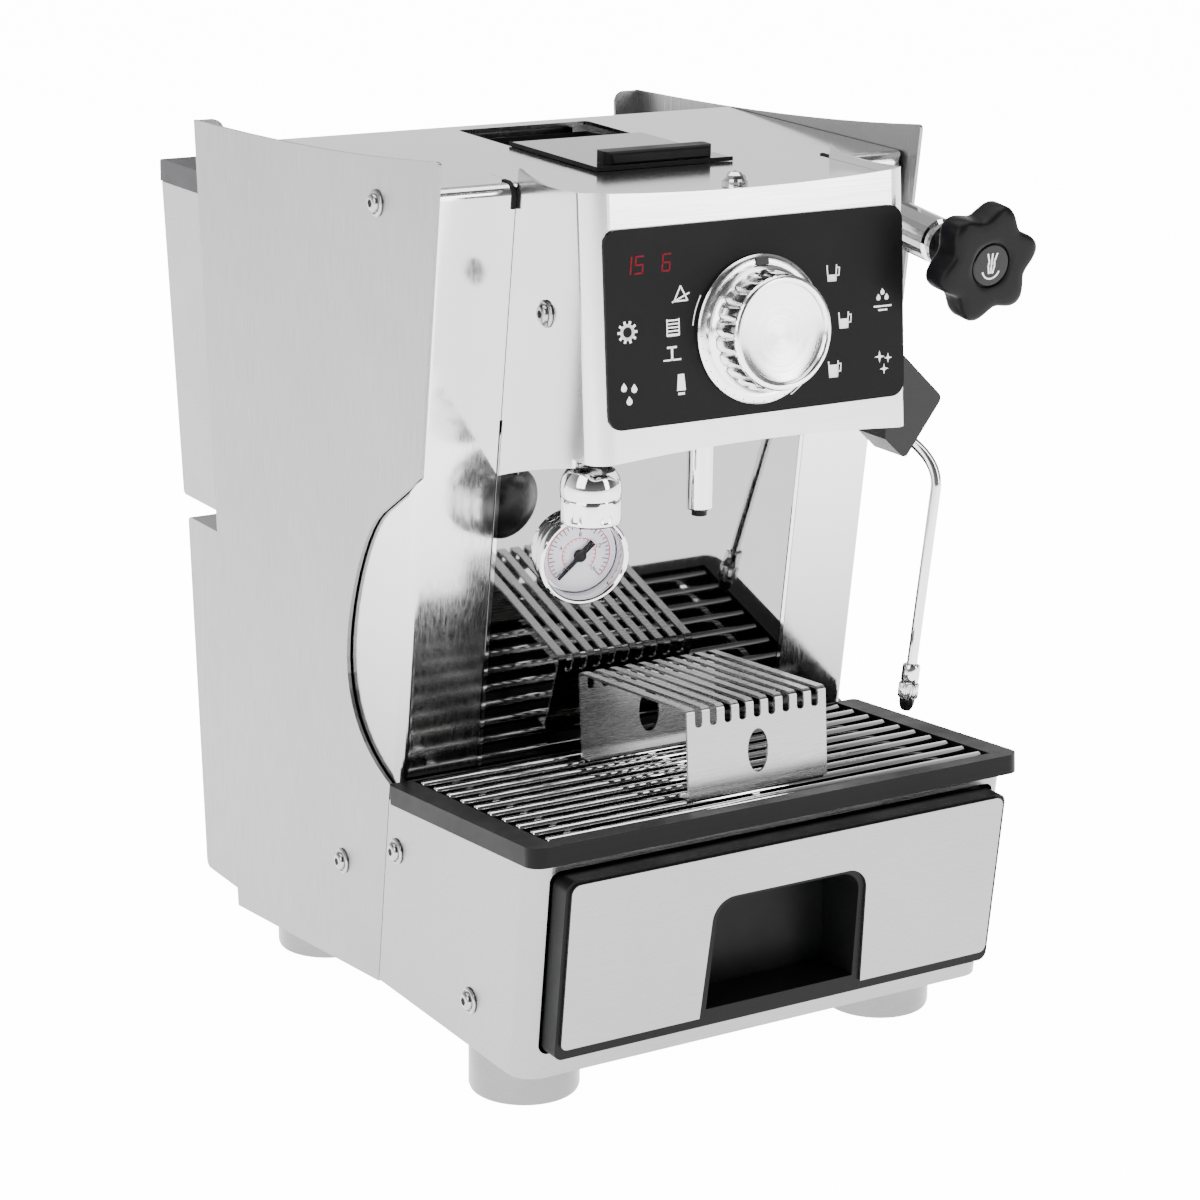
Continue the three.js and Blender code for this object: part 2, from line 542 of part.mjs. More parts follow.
function gaugeNeedle() {
  const bar = prismY(polygon([-1.8, -10], [1.8, -10], [0.6, 17], [-0.6, 17]), 3.2, 4.2);
  const hub = turnedForward([[0, -5.2], [3.2, -5.2], [3.2, -2.6], [0, -2.6]], 16);
  return join(bar, hub).rotateY(rad(-137));
}
add('gauge_needle', gaugeNeedle(), BLACK_PLASTIC, gaugeFrame);
const fittingProfile = [
  [0, 310], [14.4, 310], [16.2, 312], [16.2, 328], [15.4, 334], [12.4, 339], [0, 340.4]];
add('gauge_fitting', turned(fittingProfile, 12), CHROME).position.set(-83, 66, 0);

// ---------------------------------------------------------------- drip tray, grid and cup stand (tilted)
function dripTray() {
  const rim = prismZ(rounded(
    [-RIM_HALF, 0, 9], [RIM_HALF, 0, 9],
    [RIM_HALF, TRAY_DEPTH, 3], [-RIM_HALF, TRAY_DEPTH, 3]), -RIM_THICKNESS, 0, 5);
  const pan = box(-142.5, 142.5, 15.5, 155.5, -34, -RIM_THICKNESS + 1);
  const well = box(-140.2, 140.2, 10, 154.2, -RIM_THICKNESS + 2, 5);
  const deep = box(-140.2, 140.2, 17.5, 153.2, -32, 5);
  return cut(join(rim, pan), well, deep);
}
add('drip_tray', dripTray(), BLACK_PLASTIC, trayFrame);

const BAR_COUNT = 10;
const BAR_PITCH = 14.9;
const BAR_FIRST = 16;
const BAR_HALF = 137.7;
const BAR_RADIUS = 2.6;
function dripGrid() {
  const bars = [];
  for (let i = 0; i < BAR_COUNT; i += 1) {
    const bar = rod(BAR_RADIUS, -BAR_HALF, BAR_HALF, 8).rotateY(Math.PI / 2);
    bars.push(bar.translate(0, BAR_FIRST + BAR_PITCH * i, GAP - BAR_RADIUS));
  }
  const length = BAR_FIRST + BAR_PITCH * (BAR_COUNT - 1);
  const rails = [-118, 0, 118].map((x) => box(x - 2, x + 2, 14.6, length + 1.5, -8.2, -BAR_RADIUS - 1.2));
  return join(...bars.slice(0, 1), ...rails, ...bars.slice(1));
}
add('drip_grid', dripGrid(), CHROME, trayFrame);

function cupStand() {
  const half = 44;
  const front = 27.6;
  const rear = 138;
  const foot = 2 * GAP;
  const top = foot + 49;
  const t = THIN_SHEET;
  const toe = 9;
  const profile = rounded(
    [front, foot], [front, top, 3], [rear, top, 3], [rear, foot], [rear - toe, foot], [rear - toe, foot + t],
    [rear - t, foot + t], [rear - t, top - t, 1.5], [front + t, top - t, 1.5], [front + t, foot + t],
    [front + toe, foot + t], [front + toe, foot]);
  const bridge = prismX(profile, -half, half, 3);
  const slots = [];
  const pitch = 9.2;
  const slotHalf = 2.3;
  const slotRound = 2.2; // rounding of the slots' lower ends
  for (let i = -4; i <= 4; i += 1) {
    const x = i * pitch;
    const outline = rounded(
      [x - slotHalf, top - 10.5, slotRound], [x + slotHalf, top - 10.5, slotRound],
      [x + slotHalf, top + BEYOND], [x - slotHalf, top + BEYOND]);
    slots.push(prismY(outline, front - BEYOND, rear + BEYOND, 4));
  }
  const oval = new THREE.Shape();
  oval.absellipse(0, foot + 20.5, 6.5, 12, 0, 2 * Math.PI, false);
  const window = prismY(oval, front - BEYOND, rear + BEYOND, 10);
  return cut(bridge, ...slots, window);
}
add('cup_stand', cupStand(), BRUSHED_STEEL, trayFrame);

// ---------------------------------------------------------------- grounds drawer
const DRAWER_PROUD = 15;
const CUT_TOP = 120.2;
function drawerFront() {
  const [low, high, half] = [51.2, 145.1, 136.3];
  const plate = rounded(
    [-half, low, 4], [-51.8, low], [-48.4, CUT_TOP, 13], [48.4, CUT_TOP, 13], [51.8, low],
    [half, low, 4], [half, high, 5], [-half, high, 5]);
  const front = prismY(plate, 0, THIN_SHEET, 5);
  return shearY(front, -Math.tan(BASE_LEAN), BASE_BOTTOM).translate(0, BASE_FRONT - DRAWER_PROUD, 0);
}
add('drawer_front', drawerFront(), BRUSHED_STEEL);

function drawerBox() {
  const face = THIN_SHEET + GAP;
  const [low, high, half] = [45.2, 146.8, 139];
  const frame = prismY(rounded(
    [-half, low, 5], [half, low, 5], [half, high, 6], [-half, high, 6]), face, face + 13, 5);
  shearY(frame, -Math.tan(BASE_LEAN), BASE_BOTTOM).translate(0, BASE_FRONT - DRAWER_PROUD, 0);
  const bin = box(-136, 136, 5, 174, 47, 112);
  const hollow = box(-133.5, 133.5, 34, 171.5, 49.5, 130);
  const grip = prismY(rounded([-47, 55], [47, 55], [45, 118, 12], [-45, 118, 12]), -20, 31, 5);
  return cut(join(frame, bin), hollow, grip);
}
add('drawer_box', drawerBox(), BLACK_PLASTIC);

// ---------------------------------------------------------------- rear: cover, housing, water tank
function rearCover() {
  const inset = 4.5;
  const deck = 436;
  const foot = 34;
  const y = (z) => rearY(z) - inset;
  const front = COVER_REAR + 2;
  const deckTop = deck + THIN_SHEET;
  return prismX(polygon(
    [front, deck], [y(deck), deck], [y(foot), foot], [y(foot) + THIN_SHEET, foot],
    [y(deckTop) + THIN_SHEET, deckTop], [front, deckTop]), -147.4, 147.4);
}
add('rear_cover', rearCover(), BRUSHED_STEEL);

const TANK_HALF = 140;
const INLET_X = -84;
const SWITCH_X = -44;
function rearHousing() {
  const [low, shelf, top] = [12, 233, 430];
  const outer = rounded(
    [rearY(low) + 1, low], [427.2, low, 5], [443.4, shelf, 3], [rearY(shelf) + 6, shelf, 10],
    [rearY(top) + 6, top, 2], [rearY(top) + 1, top]);
  const inner = polygon([rearY(15) - 2, 15], [424, 15], [440, shelf - 3], [rearY(shelf) - 2, shelf - 3]);
  const block = cut(prismX(outer, -TANK_HALF, TANK_HALF, 5), prismX(inner, 3 - TANK_HALF, TANK_HALF - 3));
  const hole = (x, half) => (
    box(x - half, x + half, -10, 10, -10.6, 10.6).applyMatrix4(housingFrame.matrix));
  return cut(block, hole(INLET_X, 14.2), hole(SWITCH_X, 7));
}
add('rear_housing', rearHousing(), BRUSHED_STEEL);

const inletBody = box(INLET_X - 13.8, INLET_X + 13.8, -18, 0.5, -10.2, 10.2);
const inletFace = box(INLET_X - 16, INLET_X + 16, 0.5, 2.5, -12.5, 12.5);
const inletWell = box(INLET_X - 11, INLET_X + 11, -14, 5, -7.5, 7.5);
add('power_inlet', cut(join(inletBody, inletFace), inletWell), BLACK_PLASTIC, housingFrame);
const rockerSide = polygon([-6, -9], [1.2, -9.6], [2, 0], [4, 9.3], [-6, 9]);
add('power_switch', prismX(rockerSide, SWITCH_X - 6.2, SWITCH_X + 6.2), BLACK_PLASTIC, housingFrame);

const TANK_LOW = 246;
const TANK_TOP = 433.5;
const TANK_WALL = 2.5;
const tankFrontY = (z) => rearY(z) + 6.8;
const tankRearY = (z) => 449 + ((z - TANK_LOW) * 21) / (TANK_TOP - TANK_LOW);
function waterTank() {
  const wall = TANK_WALL;
  const outer = rounded(
    [tankFrontY(TANK_LOW), TANK_LOW, 10], [tankRearY(TANK_LOW), TANK_LOW, 3],
    [tankRearY(TANK_TOP), TANK_TOP], [tankFrontY(TANK_TOP), TANK_TOP]);
  const inner = rounded(
    [tankFrontY(TANK_LOW) + wall, TANK_LOW + wall, 8], [tankRearY(TANK_LOW) - wall, TANK_LOW + wall, 3],
    [tankRearY(TANK_TOP) - wall, TANK_TOP + 1], [tankFrontY(TANK_TOP) + wall, TANK_TOP + 1]);
  const boss = rod(13, 233.4, TANK_LOW + 1, 20).translate(0, 424, 0);
  const body = join(prismX(outer, -TANK_HALF, TANK_HALF, 5), boss);
  return cut(body, prismX(inner, wall - TANK_HALF, TANK_HALF - wall, 4));
}
add('water_tank', waterTank(), SMOKE_PLASTIC);

function tankLid() {
  const front = tankFrontY(TANK_TOP);
  const rear = tankRearY(TANK_TOP) + 1;
  const [low, top] = [TANK_TOP + 0.4, 447];
  const half = TANK_HALF + 0.5;
  const side = rounded([front, low], [rear, low], [rear, top, 2], [front, top, 2]);
  const room = box(-137, 137, front + TANK_WALL, rear - TANK_WALL, low - BEYOND, top - TANK_WALL);
  return cut(prismX(side, -half, half, 3), room);
}
add('tank_lid', tankLid(), GREY_PLASTIC);

// ---------------------------------------------------------------- button-head screws with cup washers
const screwProfile = [[0, 0], [7.2, 0], [7.2, 0.8], [5.6, 1.8], [4.9, 1.8], [4.5, 3], [3.2, 3.8], [0, 3.9]];
const screwPlaces = {
  panel_top: [HALF_WIDTH, 173, 465], panel_low: [HALF_WIDTH, 220, 86],
  base_rear: [HALF_WIDTH, 155, 113], base_front: [HALF_WIDTH, 73, 56], head: [HEAD_HALF, 87, 417] };
for (const [place, [x, y, z]] of Object.entries(screwPlaces)) {
  for (const [side, sign] of [['left', -1], ['right', 1]]) {
    const screw = add(`screw_${place}_${side}`, turned(screwProfile, 14), CHROME);
    screw.rotation.y = (sign * Math.PI) / 2;
    screw.position.set(sign * (x + GAP), y, z);
  }
}

// ---------------------------------------------------------------- origin
machine.updateMatrixWorld(true);
const bounds = new THREE.Box3().setFromObject(machine, true);
const centre = bounds.getCenter(new THREE.Vector3());
machine.position.set(-centre.x, -centre.y, -bounds.min.z);

export default machine;
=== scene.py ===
"""Looks of the espresso machine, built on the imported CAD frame.

Lengths below are in millimetres in the machine's design frame: x = 0 is the middle plane, y = 0 is
the front edge of the drip tray and z = 0 is the surface under the feet. at() and the face frames
turn them into metres in the row frame.
"""
import math

import bpy
from mathutils import Matrix, Vector


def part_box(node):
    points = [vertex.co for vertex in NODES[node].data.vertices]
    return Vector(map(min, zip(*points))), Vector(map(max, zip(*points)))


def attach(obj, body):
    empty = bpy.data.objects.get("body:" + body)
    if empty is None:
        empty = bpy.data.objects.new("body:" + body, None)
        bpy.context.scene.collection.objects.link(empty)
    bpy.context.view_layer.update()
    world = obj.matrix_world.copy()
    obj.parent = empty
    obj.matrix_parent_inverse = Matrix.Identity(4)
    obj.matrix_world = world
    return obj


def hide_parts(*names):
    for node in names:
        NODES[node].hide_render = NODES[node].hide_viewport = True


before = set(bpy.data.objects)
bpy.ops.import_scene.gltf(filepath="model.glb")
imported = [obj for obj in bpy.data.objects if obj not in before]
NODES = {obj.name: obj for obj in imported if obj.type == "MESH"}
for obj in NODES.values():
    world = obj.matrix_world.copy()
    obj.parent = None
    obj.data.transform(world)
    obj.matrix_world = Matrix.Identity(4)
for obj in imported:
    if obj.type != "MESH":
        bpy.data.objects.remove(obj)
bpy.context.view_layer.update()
rad = math.radians
MM = 0.001

# ---------------------------------------------------------------- design frame
FOOT_X, FOOT_Y = 116, 74
foot_low, foot_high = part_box("foot_front_right")
ORIGIN = Vector((
    (foot_low.x + foot_high.x) / 2 - FOOT_X * MM, (foot_low.y + foot_high.y) / 2 - FOOT_Y * MM, 0))


def at(x, y, z):
    """A point of the design frame, in metres in the row frame."""
    return Vector((x, y, z)) * MM + ORIGIN


def face(x, y, z, lean=0.0, turn=0.0):
    """A frame on a leaning face: X right, -Y out of the face, Z up along it, in millimetres."""
    turned = Matrix.Rotation(lean, 4, "X") @ Matrix.Rotation(turn, 4, "Z")
    return Matrix.Translation(at(x, y, z)) @ turned @ Matrix.Scale(MM, 4)


COLUMN_LEAN, HEAD_LEAN, TRAY_TILT = rad(7.1), rad(4.76), rad(4.8)
COVER_RISE = rad(0.96)
COLUMN_FRONT, COLUMN_FOOT = 160.8, 130  # y and z of a point on the column fronts
COVER_TOP, COVER_Y = 478.9, 109  # z and y of a point on the top cover
HEAD_FRONT, HEAD_BOTTOM = 35.4, 346.7
RIM_TOP = 164.8  # front edge of the drip tray
VALVE_X, VALVE_Z = 123, 450.3
SPOUT_Y = 91
GAP = 0.3  # clearance between pieces that touch


def column_y(z):
    return COLUMN_FRONT - math.tan(COLUMN_LEAN) * (z - COLUMN_FOOT)


def cover_z(y):
    return COVER_TOP + math.tan(COVER_RISE) * (y - COVER_Y)


GROUND = face(0, 0, 0)
HEAD = face(0, HEAD_FRONT, HEAD_BOTTOM, -HEAD_LEAN)
TRAY = face(0, 0, RIM_TOP, -TRAY_TILT)
VALVE = face(VALVE_X, column_y(VALVE_Z), VALVE_Z, COLUMN_LEAN)
GAUGE = face(-74.5, 87.5, 284.5, rad(5), rad(-10))
COVER = face(0, 0, cover_z(0) + GAP, COVER_RISE)


def standing(point):
    """A frame at a point, in metres, where a lathe's heights run upwards."""
    return Matrix.Translation(point) @ Matrix.Rotation(rad(-90), 4, "X") @ Matrix.Scale(MM, 4)


# ---------------------------------------------------------------- material tools
EVEN = (1, 1, 1)  # no stretch
ALONG_X, ALONG_Z = (1.5, 110, 110), (110, 110, 1.5)
STREAKS = (40, 40, 0.5)  # broad upright streaks
# Painted shade: below these heights a steel given a low shade is darkened towards the bottom, as a painted
# reflection of the dark drip tray.
PAINTED_SHADE_LOW, PAINTED_SHADE_HIGH = 0.14, 0.33  # heights, in metres, between which a fading steel turns lighter


class Recipe:
    """A Principled material with a few short ways to add nodes."""

    def __init__(self, name, color, rough, metal=0.0):
        self.material = bpy.data.materials.new(name)
        self.material.use_nodes = True
        self.tree = self.material.node_tree
        self.shader = self.tree.nodes["Principled BSDF"]
        self.set("Base Color", (*color, 1))
        self.set("Roughness", rough)
        self.set("Metallic", metal)
        self.material.diffuse_color = (*color, 1)

    def set(self, socket, value):
        self.shader.inputs[socket].default_value = value

    def node(self, kind, **values):
        made = self.tree.nodes.new(kind)
        for key, value in values.items():
            made.inputs[key.replace("_", " ").title()].default_value = value
        return made

    def link(self, source, target):
        self.tree.links.new(source, target)

    def place(self, stretch, turn=(0, 0, 0), centre=(0, 0, 0)):
        """Object coordinates in metres, moved, turned and stretched."""
        coordinates = self.node("ShaderNodeTexCoord")
        mapping = self.node("ShaderNodeMapping", location=centre, rotation=turn, scale=stretch)
        self.link(coordinates.outputs["Object"], mapping.inputs["Vector"])
        return mapping.outputs["Vector"]

    def noise(self, vector, scale, detail=4.0):
        made = self.node("ShaderNodeTexNoise", scale=scale, detail=detail, roughness=0.6)
        self.link(vector, made.inputs["Vector"])
        return made.outputs["Fac"]

    def spread(self, factor, low, high, start=0.35, end=0.65):
        made = self.node("ShaderNodeMapRange", from_min=start, from_max=end, to_min=low, to_max=high)
        self.link(factor, made.inputs["Value"])
        return made.outputs["Result"]

    def tint(self, factor, dark, light, start=0.35, end=0.65):
        ramp = self.tree.nodes.new("ShaderNodeValToRGB")
        ramp.color_ramp.elements[0].position = start
        ramp.color_ramp.elements[1].position = end
        ramp.color_ramp.elements[0].color = (*dark, 1)
        ramp.color_ramp.elements[1].color = (*light, 1)
        self.link(factor, ramp.inputs["Fac"])
        self.link(ramp.outputs["Color"], self.shader.inputs["Base Color"])

    def bump(self, height, strength, distance):
        made = self.node("ShaderNodeBump", strength=strength, distance=distance)
        self.link(height, made.inputs["Height"])
        self.link(made.outputs["Normal"], self.shader.inputs["Normal"])


def steel(name, shade, rough, grain, stretch, strength=0.12, detail=4.0, painted_low_shade=None):
    """Steel with a grain along the axis whose stretch is small; the last argument, when given, is painted
    shade: the colour low down, near the tray, darkened to stand in for the dark tray's reflection.
    """
    recipe = Recipe(name, (shade, shade, shade * 1.005), rough, 1.0)
    lines = recipe.noise(recipe.place(stretch), grain, detail)
    clouds = recipe.noise(recipe.place(EVEN), 9.0, 3.0)
    recipe.link(recipe.spread(lines, rough * 0.75, rough * 1.35), recipe.shader.inputs["Roughness"])
    if painted_low_shade is None:
        recipe.tint(clouds, (shade * 0.95,) * 3, (shade * 1.03,) * 3, 0.3, 0.7)
    else:
        # Painted shade: the colour darkens towards the bottom between the two heights, standing in for the
        # dark drip tray's reflection in the steel.
        height = recipe.node("ShaderNodeSeparateXYZ")
        recipe.link(recipe.place(EVEN), height.inputs["Vector"])
        level = recipe.spread(height.outputs["Z"], 0.0, 1.0, PAINTED_SHADE_LOW, PAINTED_SHADE_HIGH)
        recipe.tint(level, (painted_low_shade,) * 3, (shade,) * 3, 0.0, 1.0)
    recipe.bump(lines, strength, 0.00012)
    return recipe.material


def plastic(name, color, rough, grain=1400.0, strength=0.04, shine=0.08):
    """Plastic with a fine moulded grain and a slight unevenness."""
    recipe = Recipe(name, color, rough)
    recipe.set("Specular IOR Level", shine)
    fine = recipe.noise(recipe.place(EVEN), grain, 2.0)
    wide = recipe.noise(recipe.place(EVEN), 30.0, 3.0)
    recipe.link(recipe.spread(wide, rough * 0.85, rough * 1.15), recipe.shader.inputs["Roughness"])
    recipe.tint(wide, tuple(c * 0.94 for c in color), tuple(c * 1.06 for c in color))
    recipe.bump(fine, strength, 0.0001)
    return recipe.material


SIDE_STEEL = steel("side_steel", 0.27, 0.36, 26.0, ALONG_Z)
# The columns carry painted shade: their colour darkens towards the drip tray, as a painted reflection of the
# tray's dark plastic.
COLUMN_STEEL = steel("column_steel", 0.7, 0.13, 30.0, STREAKS, 0.06, 2.0, painted_low_shade=0.25)
BASE_STEEL = steel("base_steel", 0.28, 0.3, 24.0, ALONG_X)
HEAD_STEEL = steel("head_steel", 0.68, 0.15, 18.0, ALONG_X, 0.05)
STAND_STEEL = steel("stand_steel", 0.3, 0.22, 30.0, ALONG_X, 0.1)
MIRROR_STEEL = steel("mirror_steel", 0.27, 0.03, 6.0, ALONG_Z, 0.01)
CHROME = steel("chrome", 0.7, 0.05, 40.0, EVEN, 0.02)
FOOT_ALUMINIUM = steel("foot_aluminium", 0.2, 0.26, 40.0, (1, 1, 60), 0.2)
LID_STEEL = steel("lid_steel", 0.24, 0.12, 18.0, ALONG_X, 0.05)
SCREW_STEEL = steel("screw_steel", 0.34, 0.16, 40.0, EVEN, 0.03)
INNER_METAL = steel("inner_metal", 0.55, 0.4, 30.0, EVEN)
BRASS = Recipe("brass", (0.6, 0.42, 0.16), 0.32, 1.0)
BRASS.bump(BRASS.noise(BRASS.place((1, 1, 40)), 30.0), 0.1, 0.0001)
BLACK = plastic("black_plastic", (0.005, 0.005, 0.0055), 0.38)
RUBBER = plastic("black_rubber", (0.008, 0.008, 0.008), 0.6)
BLACK_GLOSS = plastic("black_gloss", (0.006, 0.006, 0.0065), 0.2, strength=0.03, shine=0.2)
MEMBRANE = plastic("panel_membrane", (0.006, 0.006, 0.0065), 0.36, 900.0, 0.08, 0.06)
GREY = plastic("grey_plastic", (0.045, 0.045, 0.047), 0.45)
PRINT_WHITE = plastic("print_white", (0.8, 0.8, 0.8), 0.5)
PRINT_RED = plastic("print_red", (0.6, 0.02, 0.05), 0.45)
DIGIT_RED = plastic("digit_red", (0.12, 0.004, 0.01), 0.45)
PRINT_DARK = plastic("print_dark", (0.006, 0.006, 0.008), 0.5)
DIAL_WHITE = plastic("dial_white", (0.72, 0.7, 0.78), 0.5)
BOARD_GREEN = plastic("board_green", (0.02, 0.12, 0.05), 0.5)
TANK = plastic("tank_plastic", (0.3, 0.3, 0.315), 0.3, strength=0.03, shine=0.4)


def spun_metal(name, shade, rough, frame_matrix, centre_z):
    """Metal turned on a lathe: fine rings about the axis of a face frame."""
    recipe = Recipe(name, (shade,) * 3, rough, 1.0)
    here = frame_matrix @ Vector((0, 0, centre_z))
    lean = frame_matrix.to_euler().x
    coordinates = recipe.node("ShaderNodeTexCoord")
    back = recipe.node("ShaderNodeVectorMath")
    back.operation = "SUBTRACT"
    back.inputs[1].default_value = here
    recipe.link(coordinates.outputs["Object"], back.inputs[0])
    turn = recipe.node("ShaderNodeMapping", rotation=(-lean, 0, 0), scale=(1, 0, 1))
    recipe.link(back.outputs["Vector"], turn.inputs["Vector"])
    length = recipe.node("ShaderNodeVectorMath")
    length.operation = "LENGTH"
    recipe.link(turn.outputs["Vector"], length.inputs[0])
    rings = recipe.node("ShaderNodeTexNoise", scale=2600.0, detail=3.0)
    rings.noise_dimensions = "1D"
    recipe.link(length.outputs["Value"], rings.inputs["W"])
    uneven = recipe.spread(rings.outputs["Fac"], rough * 0.7, rough * 1.3)
    recipe.link(uneven, recipe.shader.inputs["Roughness"])
    recipe.bump(rings.outputs["Fac"], 0.35, 0.00015)
    return recipe.material


DIAL_S = 61.9  # height of the dial's axis along the head's front
DIAL_METAL = spun_metal("dial_metal", 0.86, 0.16, HEAD, DIAL_S)
GLASS = Recipe("gauge_glass", (0.02, 0.02, 0.02), 0.02)
GLASS.set("Alpha", 0.06)
smears = GLASS.noise(GLASS.place(EVEN), 20.0)
GLASS.link(GLASS.spread(smears, 0.015, 0.03), GLASS.shader.inputs["Roughness"])

# ---------------------------------------------------------------- looks of the CAD nodes
LOOKS = {
    "side_panel_left": SIDE_STEEL, "side_panel_right": SIDE_STEEL, "body_shell": COLUMN_STEEL,
    "base_wrap": BASE_STEEL, "chassis_floor": BASE_STEEL, "splash_panel": MIRROR_STEEL,
    "head_shell": HEAD_STEEL, "head_underside": HEAD_STEEL, "cup_stand": STAND_STEEL,
    "drawer_front": BASE_STEEL, "rear_cover": SIDE_STEEL, "control_panel": MEMBRANE,
    "bean_hopper": RUBBER, "hopper_lid": LID_STEEL, "hopper_lid_handle": BLACK,
    "drip_tray": BLACK, "drawer_box": BLACK, "wand_housing": BLACK_GLOSS, "spout_nozzle": BLACK,
    "rear_housing": SIDE_STEEL, "tank_lid": GREY, "water_tank": TANK, "power_inlet": BLACK,
    "power_switch": BLACK_GLOSS, "gauge_dial": DIAL_WHITE, "gauge_needle": PRINT_DARK,
    "control_board": BOARD_GREEN, "brew_group": BRASS.material, "brew_piston": INNER_METAL,
    "grinder_motor": GREY, "water_pump": GREY, "steam_boiler": INNER_METAL,
    "grinder_burr": INNER_METAL, "burr_ring": INNER_METAL}
SHARP, BEVEL_ABOVE = rad(32), rad(40)
BEVEL_WIDTH = 0.4 * MM
NO_BEVEL = {"splash_panel", "gauge_dial", "gauge_needle", "control_board", "drip_grid"}

for name, node in NODES.items():
    look = LOOKS.get(name, FOOT_ALUMINIUM if name.startswith("foot_") else CHROME)
    node.data.materials.clear()
    node.data.materials.append(look)
    node.data.shade_smooth()
    node.data.set_sharp_from_angle(angle=SHARP)
    if name in NO_BEVEL:
        continue
    bevel = node.modifiers.new("edge", "BEVEL")
    bevel.width = BEVEL_WIDTH
    bevel.segments = 2
    bevel.limit_method = "ANGLE"
    bevel.angle_limit = BEVEL_ABOVE
    bevel.harden_normals = True

# ---------------------------------------------------------------- mesh tools


def piece(name, points, faces, matrix, body, material, slot, smooth=30):
    """A new mesh from points in a face frame, in millimetres; smooth is an angle, or 0 for flat faces."""
    mesh = bpy.data.meshes.new(name)
    mesh.from_pydata([matrix @ Vector(p) for p in points], [], faces)
    mesh.update()
    mesh.materials.append(material)
    made = bpy.data.objects.new(name, mesh)
    bpy.context.scene.collection.objects.link(made)
    if smooth:
        mesh.shade_smooth()
        mesh.set_sharp_from_angle(angle=rad(smooth))
    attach(made, body)
    return made


def lathe(profile, segments, radius_at=None):
    """Points and faces turned about -Y from [radius, height] pairs; heights run out of the face."""
    points, faces = [], []
    for radius, height in profile:
        for i in range(segments):
            angle = 2 * math.pi * i / segments
            r = radius_at(radius, height, angle) if radius_at else radius
            points.append((r * math.cos(angle), -height, r * math.sin(angle)))
    rows = len(profile)
    for row in range(rows - 1):
        for i in range(segments):
            j = (i + 1) % segments
            faces.append((row * segments + i, row * segments + j,
                          (row + 1) * segments + j, (row + 1) * segments + i))
    faces.append(tuple(range(segments))[::-1])
    faces.append(tuple((rows - 1) * segments + i for i in range(segments)))
    return points, faces


def arc(cx, cz, r, start, end, steps):
    """Points of an arc in a face's plane, angles in degrees."""
    turns = [rad(start + (end - start) * i / steps) for i in range(steps + 1)]
    return [(cx + r * math.cos(t), cz + r * math.sin(t)) for t in turns]


class Print:
    """Thin printed marks that lie on a face, gathered into one mesh."""

    def __init__(self, depth, thickness=0.12):
        self.points, self.faces = [], []
        self.back, self.front = -depth, -depth - thickness

    def fill(self, outline):
        start, count = len(self.points), len(outline)
        self.points += [(x, self.front, z) for x, z in outline] + [(x, self.back, z) for x, z in outline]
        self.faces.append(tuple(start + i for i in range(count)))
        for i in range(count):
            j = (i + 1) % count
            self.faces.append((start + j, start + i, start + count + i, start + count + j))

    def line(self, path, width):
        """A stroke along a path, one flat bar for each step."""
        for (x0, z0), (x1, z1) in zip(path, path[1:]):
            length = math.hypot(x1 - x0, z1 - z0)
            ux, uz = (x1 - x0) / length, (z1 - z0) / length
            nx, nz = -uz * width / 2, ux * width / 2
            ex, ez = ux * width * 0.3, uz * width * 0.3
            self.fill([(x0 - ex - nx, z0 - ez - nz), (x1 + ex - nx, z1 + ez - nz),
                       (x1 + ex + nx, z1 + ez + nz), (x0 - ex + nx, z0 - ez + nz)])

    def spoke(self, x, z, angle, inner, outer, width):
        """A stroke that points straight away from (x, z)."""
        ux, uz = math.cos(angle), math.sin(angle)
        self.line([(x + inner * ux, z + inner * uz), (x + outer * ux, z + outer * uz)], width)

    def make(self, name, matrix, body, material, slot):
        return piece(name, self.points, self.faces, matrix, body, material, slot, 0)


# ---------------------------------------------------------------- control panel marks
def on_head(x, z):
    """A place on the head's front, from its height in the design frame."""
    return x, (z - HEAD_BOTTOM) / math.cos(HEAD_LEAN)


def drop(mark, x, z, size):
    tip = [(x, z + size * 1.7)]
    mark.fill(tip + arc(x, z, size, 150, 390, 14))


def cup(mark, x, z, fill):
    mark.line([(x - 3, z + 4), (x - 2.4, z - 4), (x + 2.4, z - 4), (x + 3, z + 4)], 0.7)
    mark.line([(x + 3, z + 2.6), (x + 4.8, z + 2.6), (x + 4.4, z - 1.4), (x + 2.7, z - 1.4)], 0.6)
    low, high = z - 3.9, z - 3.9 + fill
    mark.fill([(x - 2.5, low), (x + 2.5, low), (x + 2.7, high), (x - 2.7, high)])


def star(mark, x, z, size):
    points = []
    for i in range(8):
        r = size if i % 2 == 0 else size * 0.3
        points.append((x + r * math.cos(i * math.pi / 4), z + r * math.sin(i * math.pi / 4)))
    mark.fill(points)


PANEL_FACE = 1.9  # front of the control panel, out from the head
icons = Print(PANEL_FACE)
x, z = on_head(-79, 414)
icons.line(arc(x, z, 3.4, 0, 360, 20), 1.4)
for tooth in range(10):
    icons.spoke(x, z, rad(36 * tooth), 3.8, 5.4, 1.3)
x, z = on_head(-79, 383)
for dx, dz in ((-3, 3), (3, 2), (0, -4)):
    drop(icons, x + dx, z + dz, 1.7)
x, z = on_head(-47, 430)
icons.line([(x - 4, z - 3), (x, z + 4.5), (x + 4, z - 3), (x - 4, z - 3)], 0.8)
icons.line([(x - 5, z - 3.4), (x + 5, z + 0.6)], 0.8)
x, z = on_head(-52, 414)
for row in range(5):
    icons.line([(x - 3, z - 3.6 + 1.8 * row), (x + 3, z - 3.6 + 1.8 * row)], 0.8)
icons.line([(x - 3.6, z + 4.2), (x - 3.6, z - 4.2), (x + 3.6, z - 4.2), (x + 3.6, z + 4.2)], 0.6)
x, z = on_head(-53, 400)
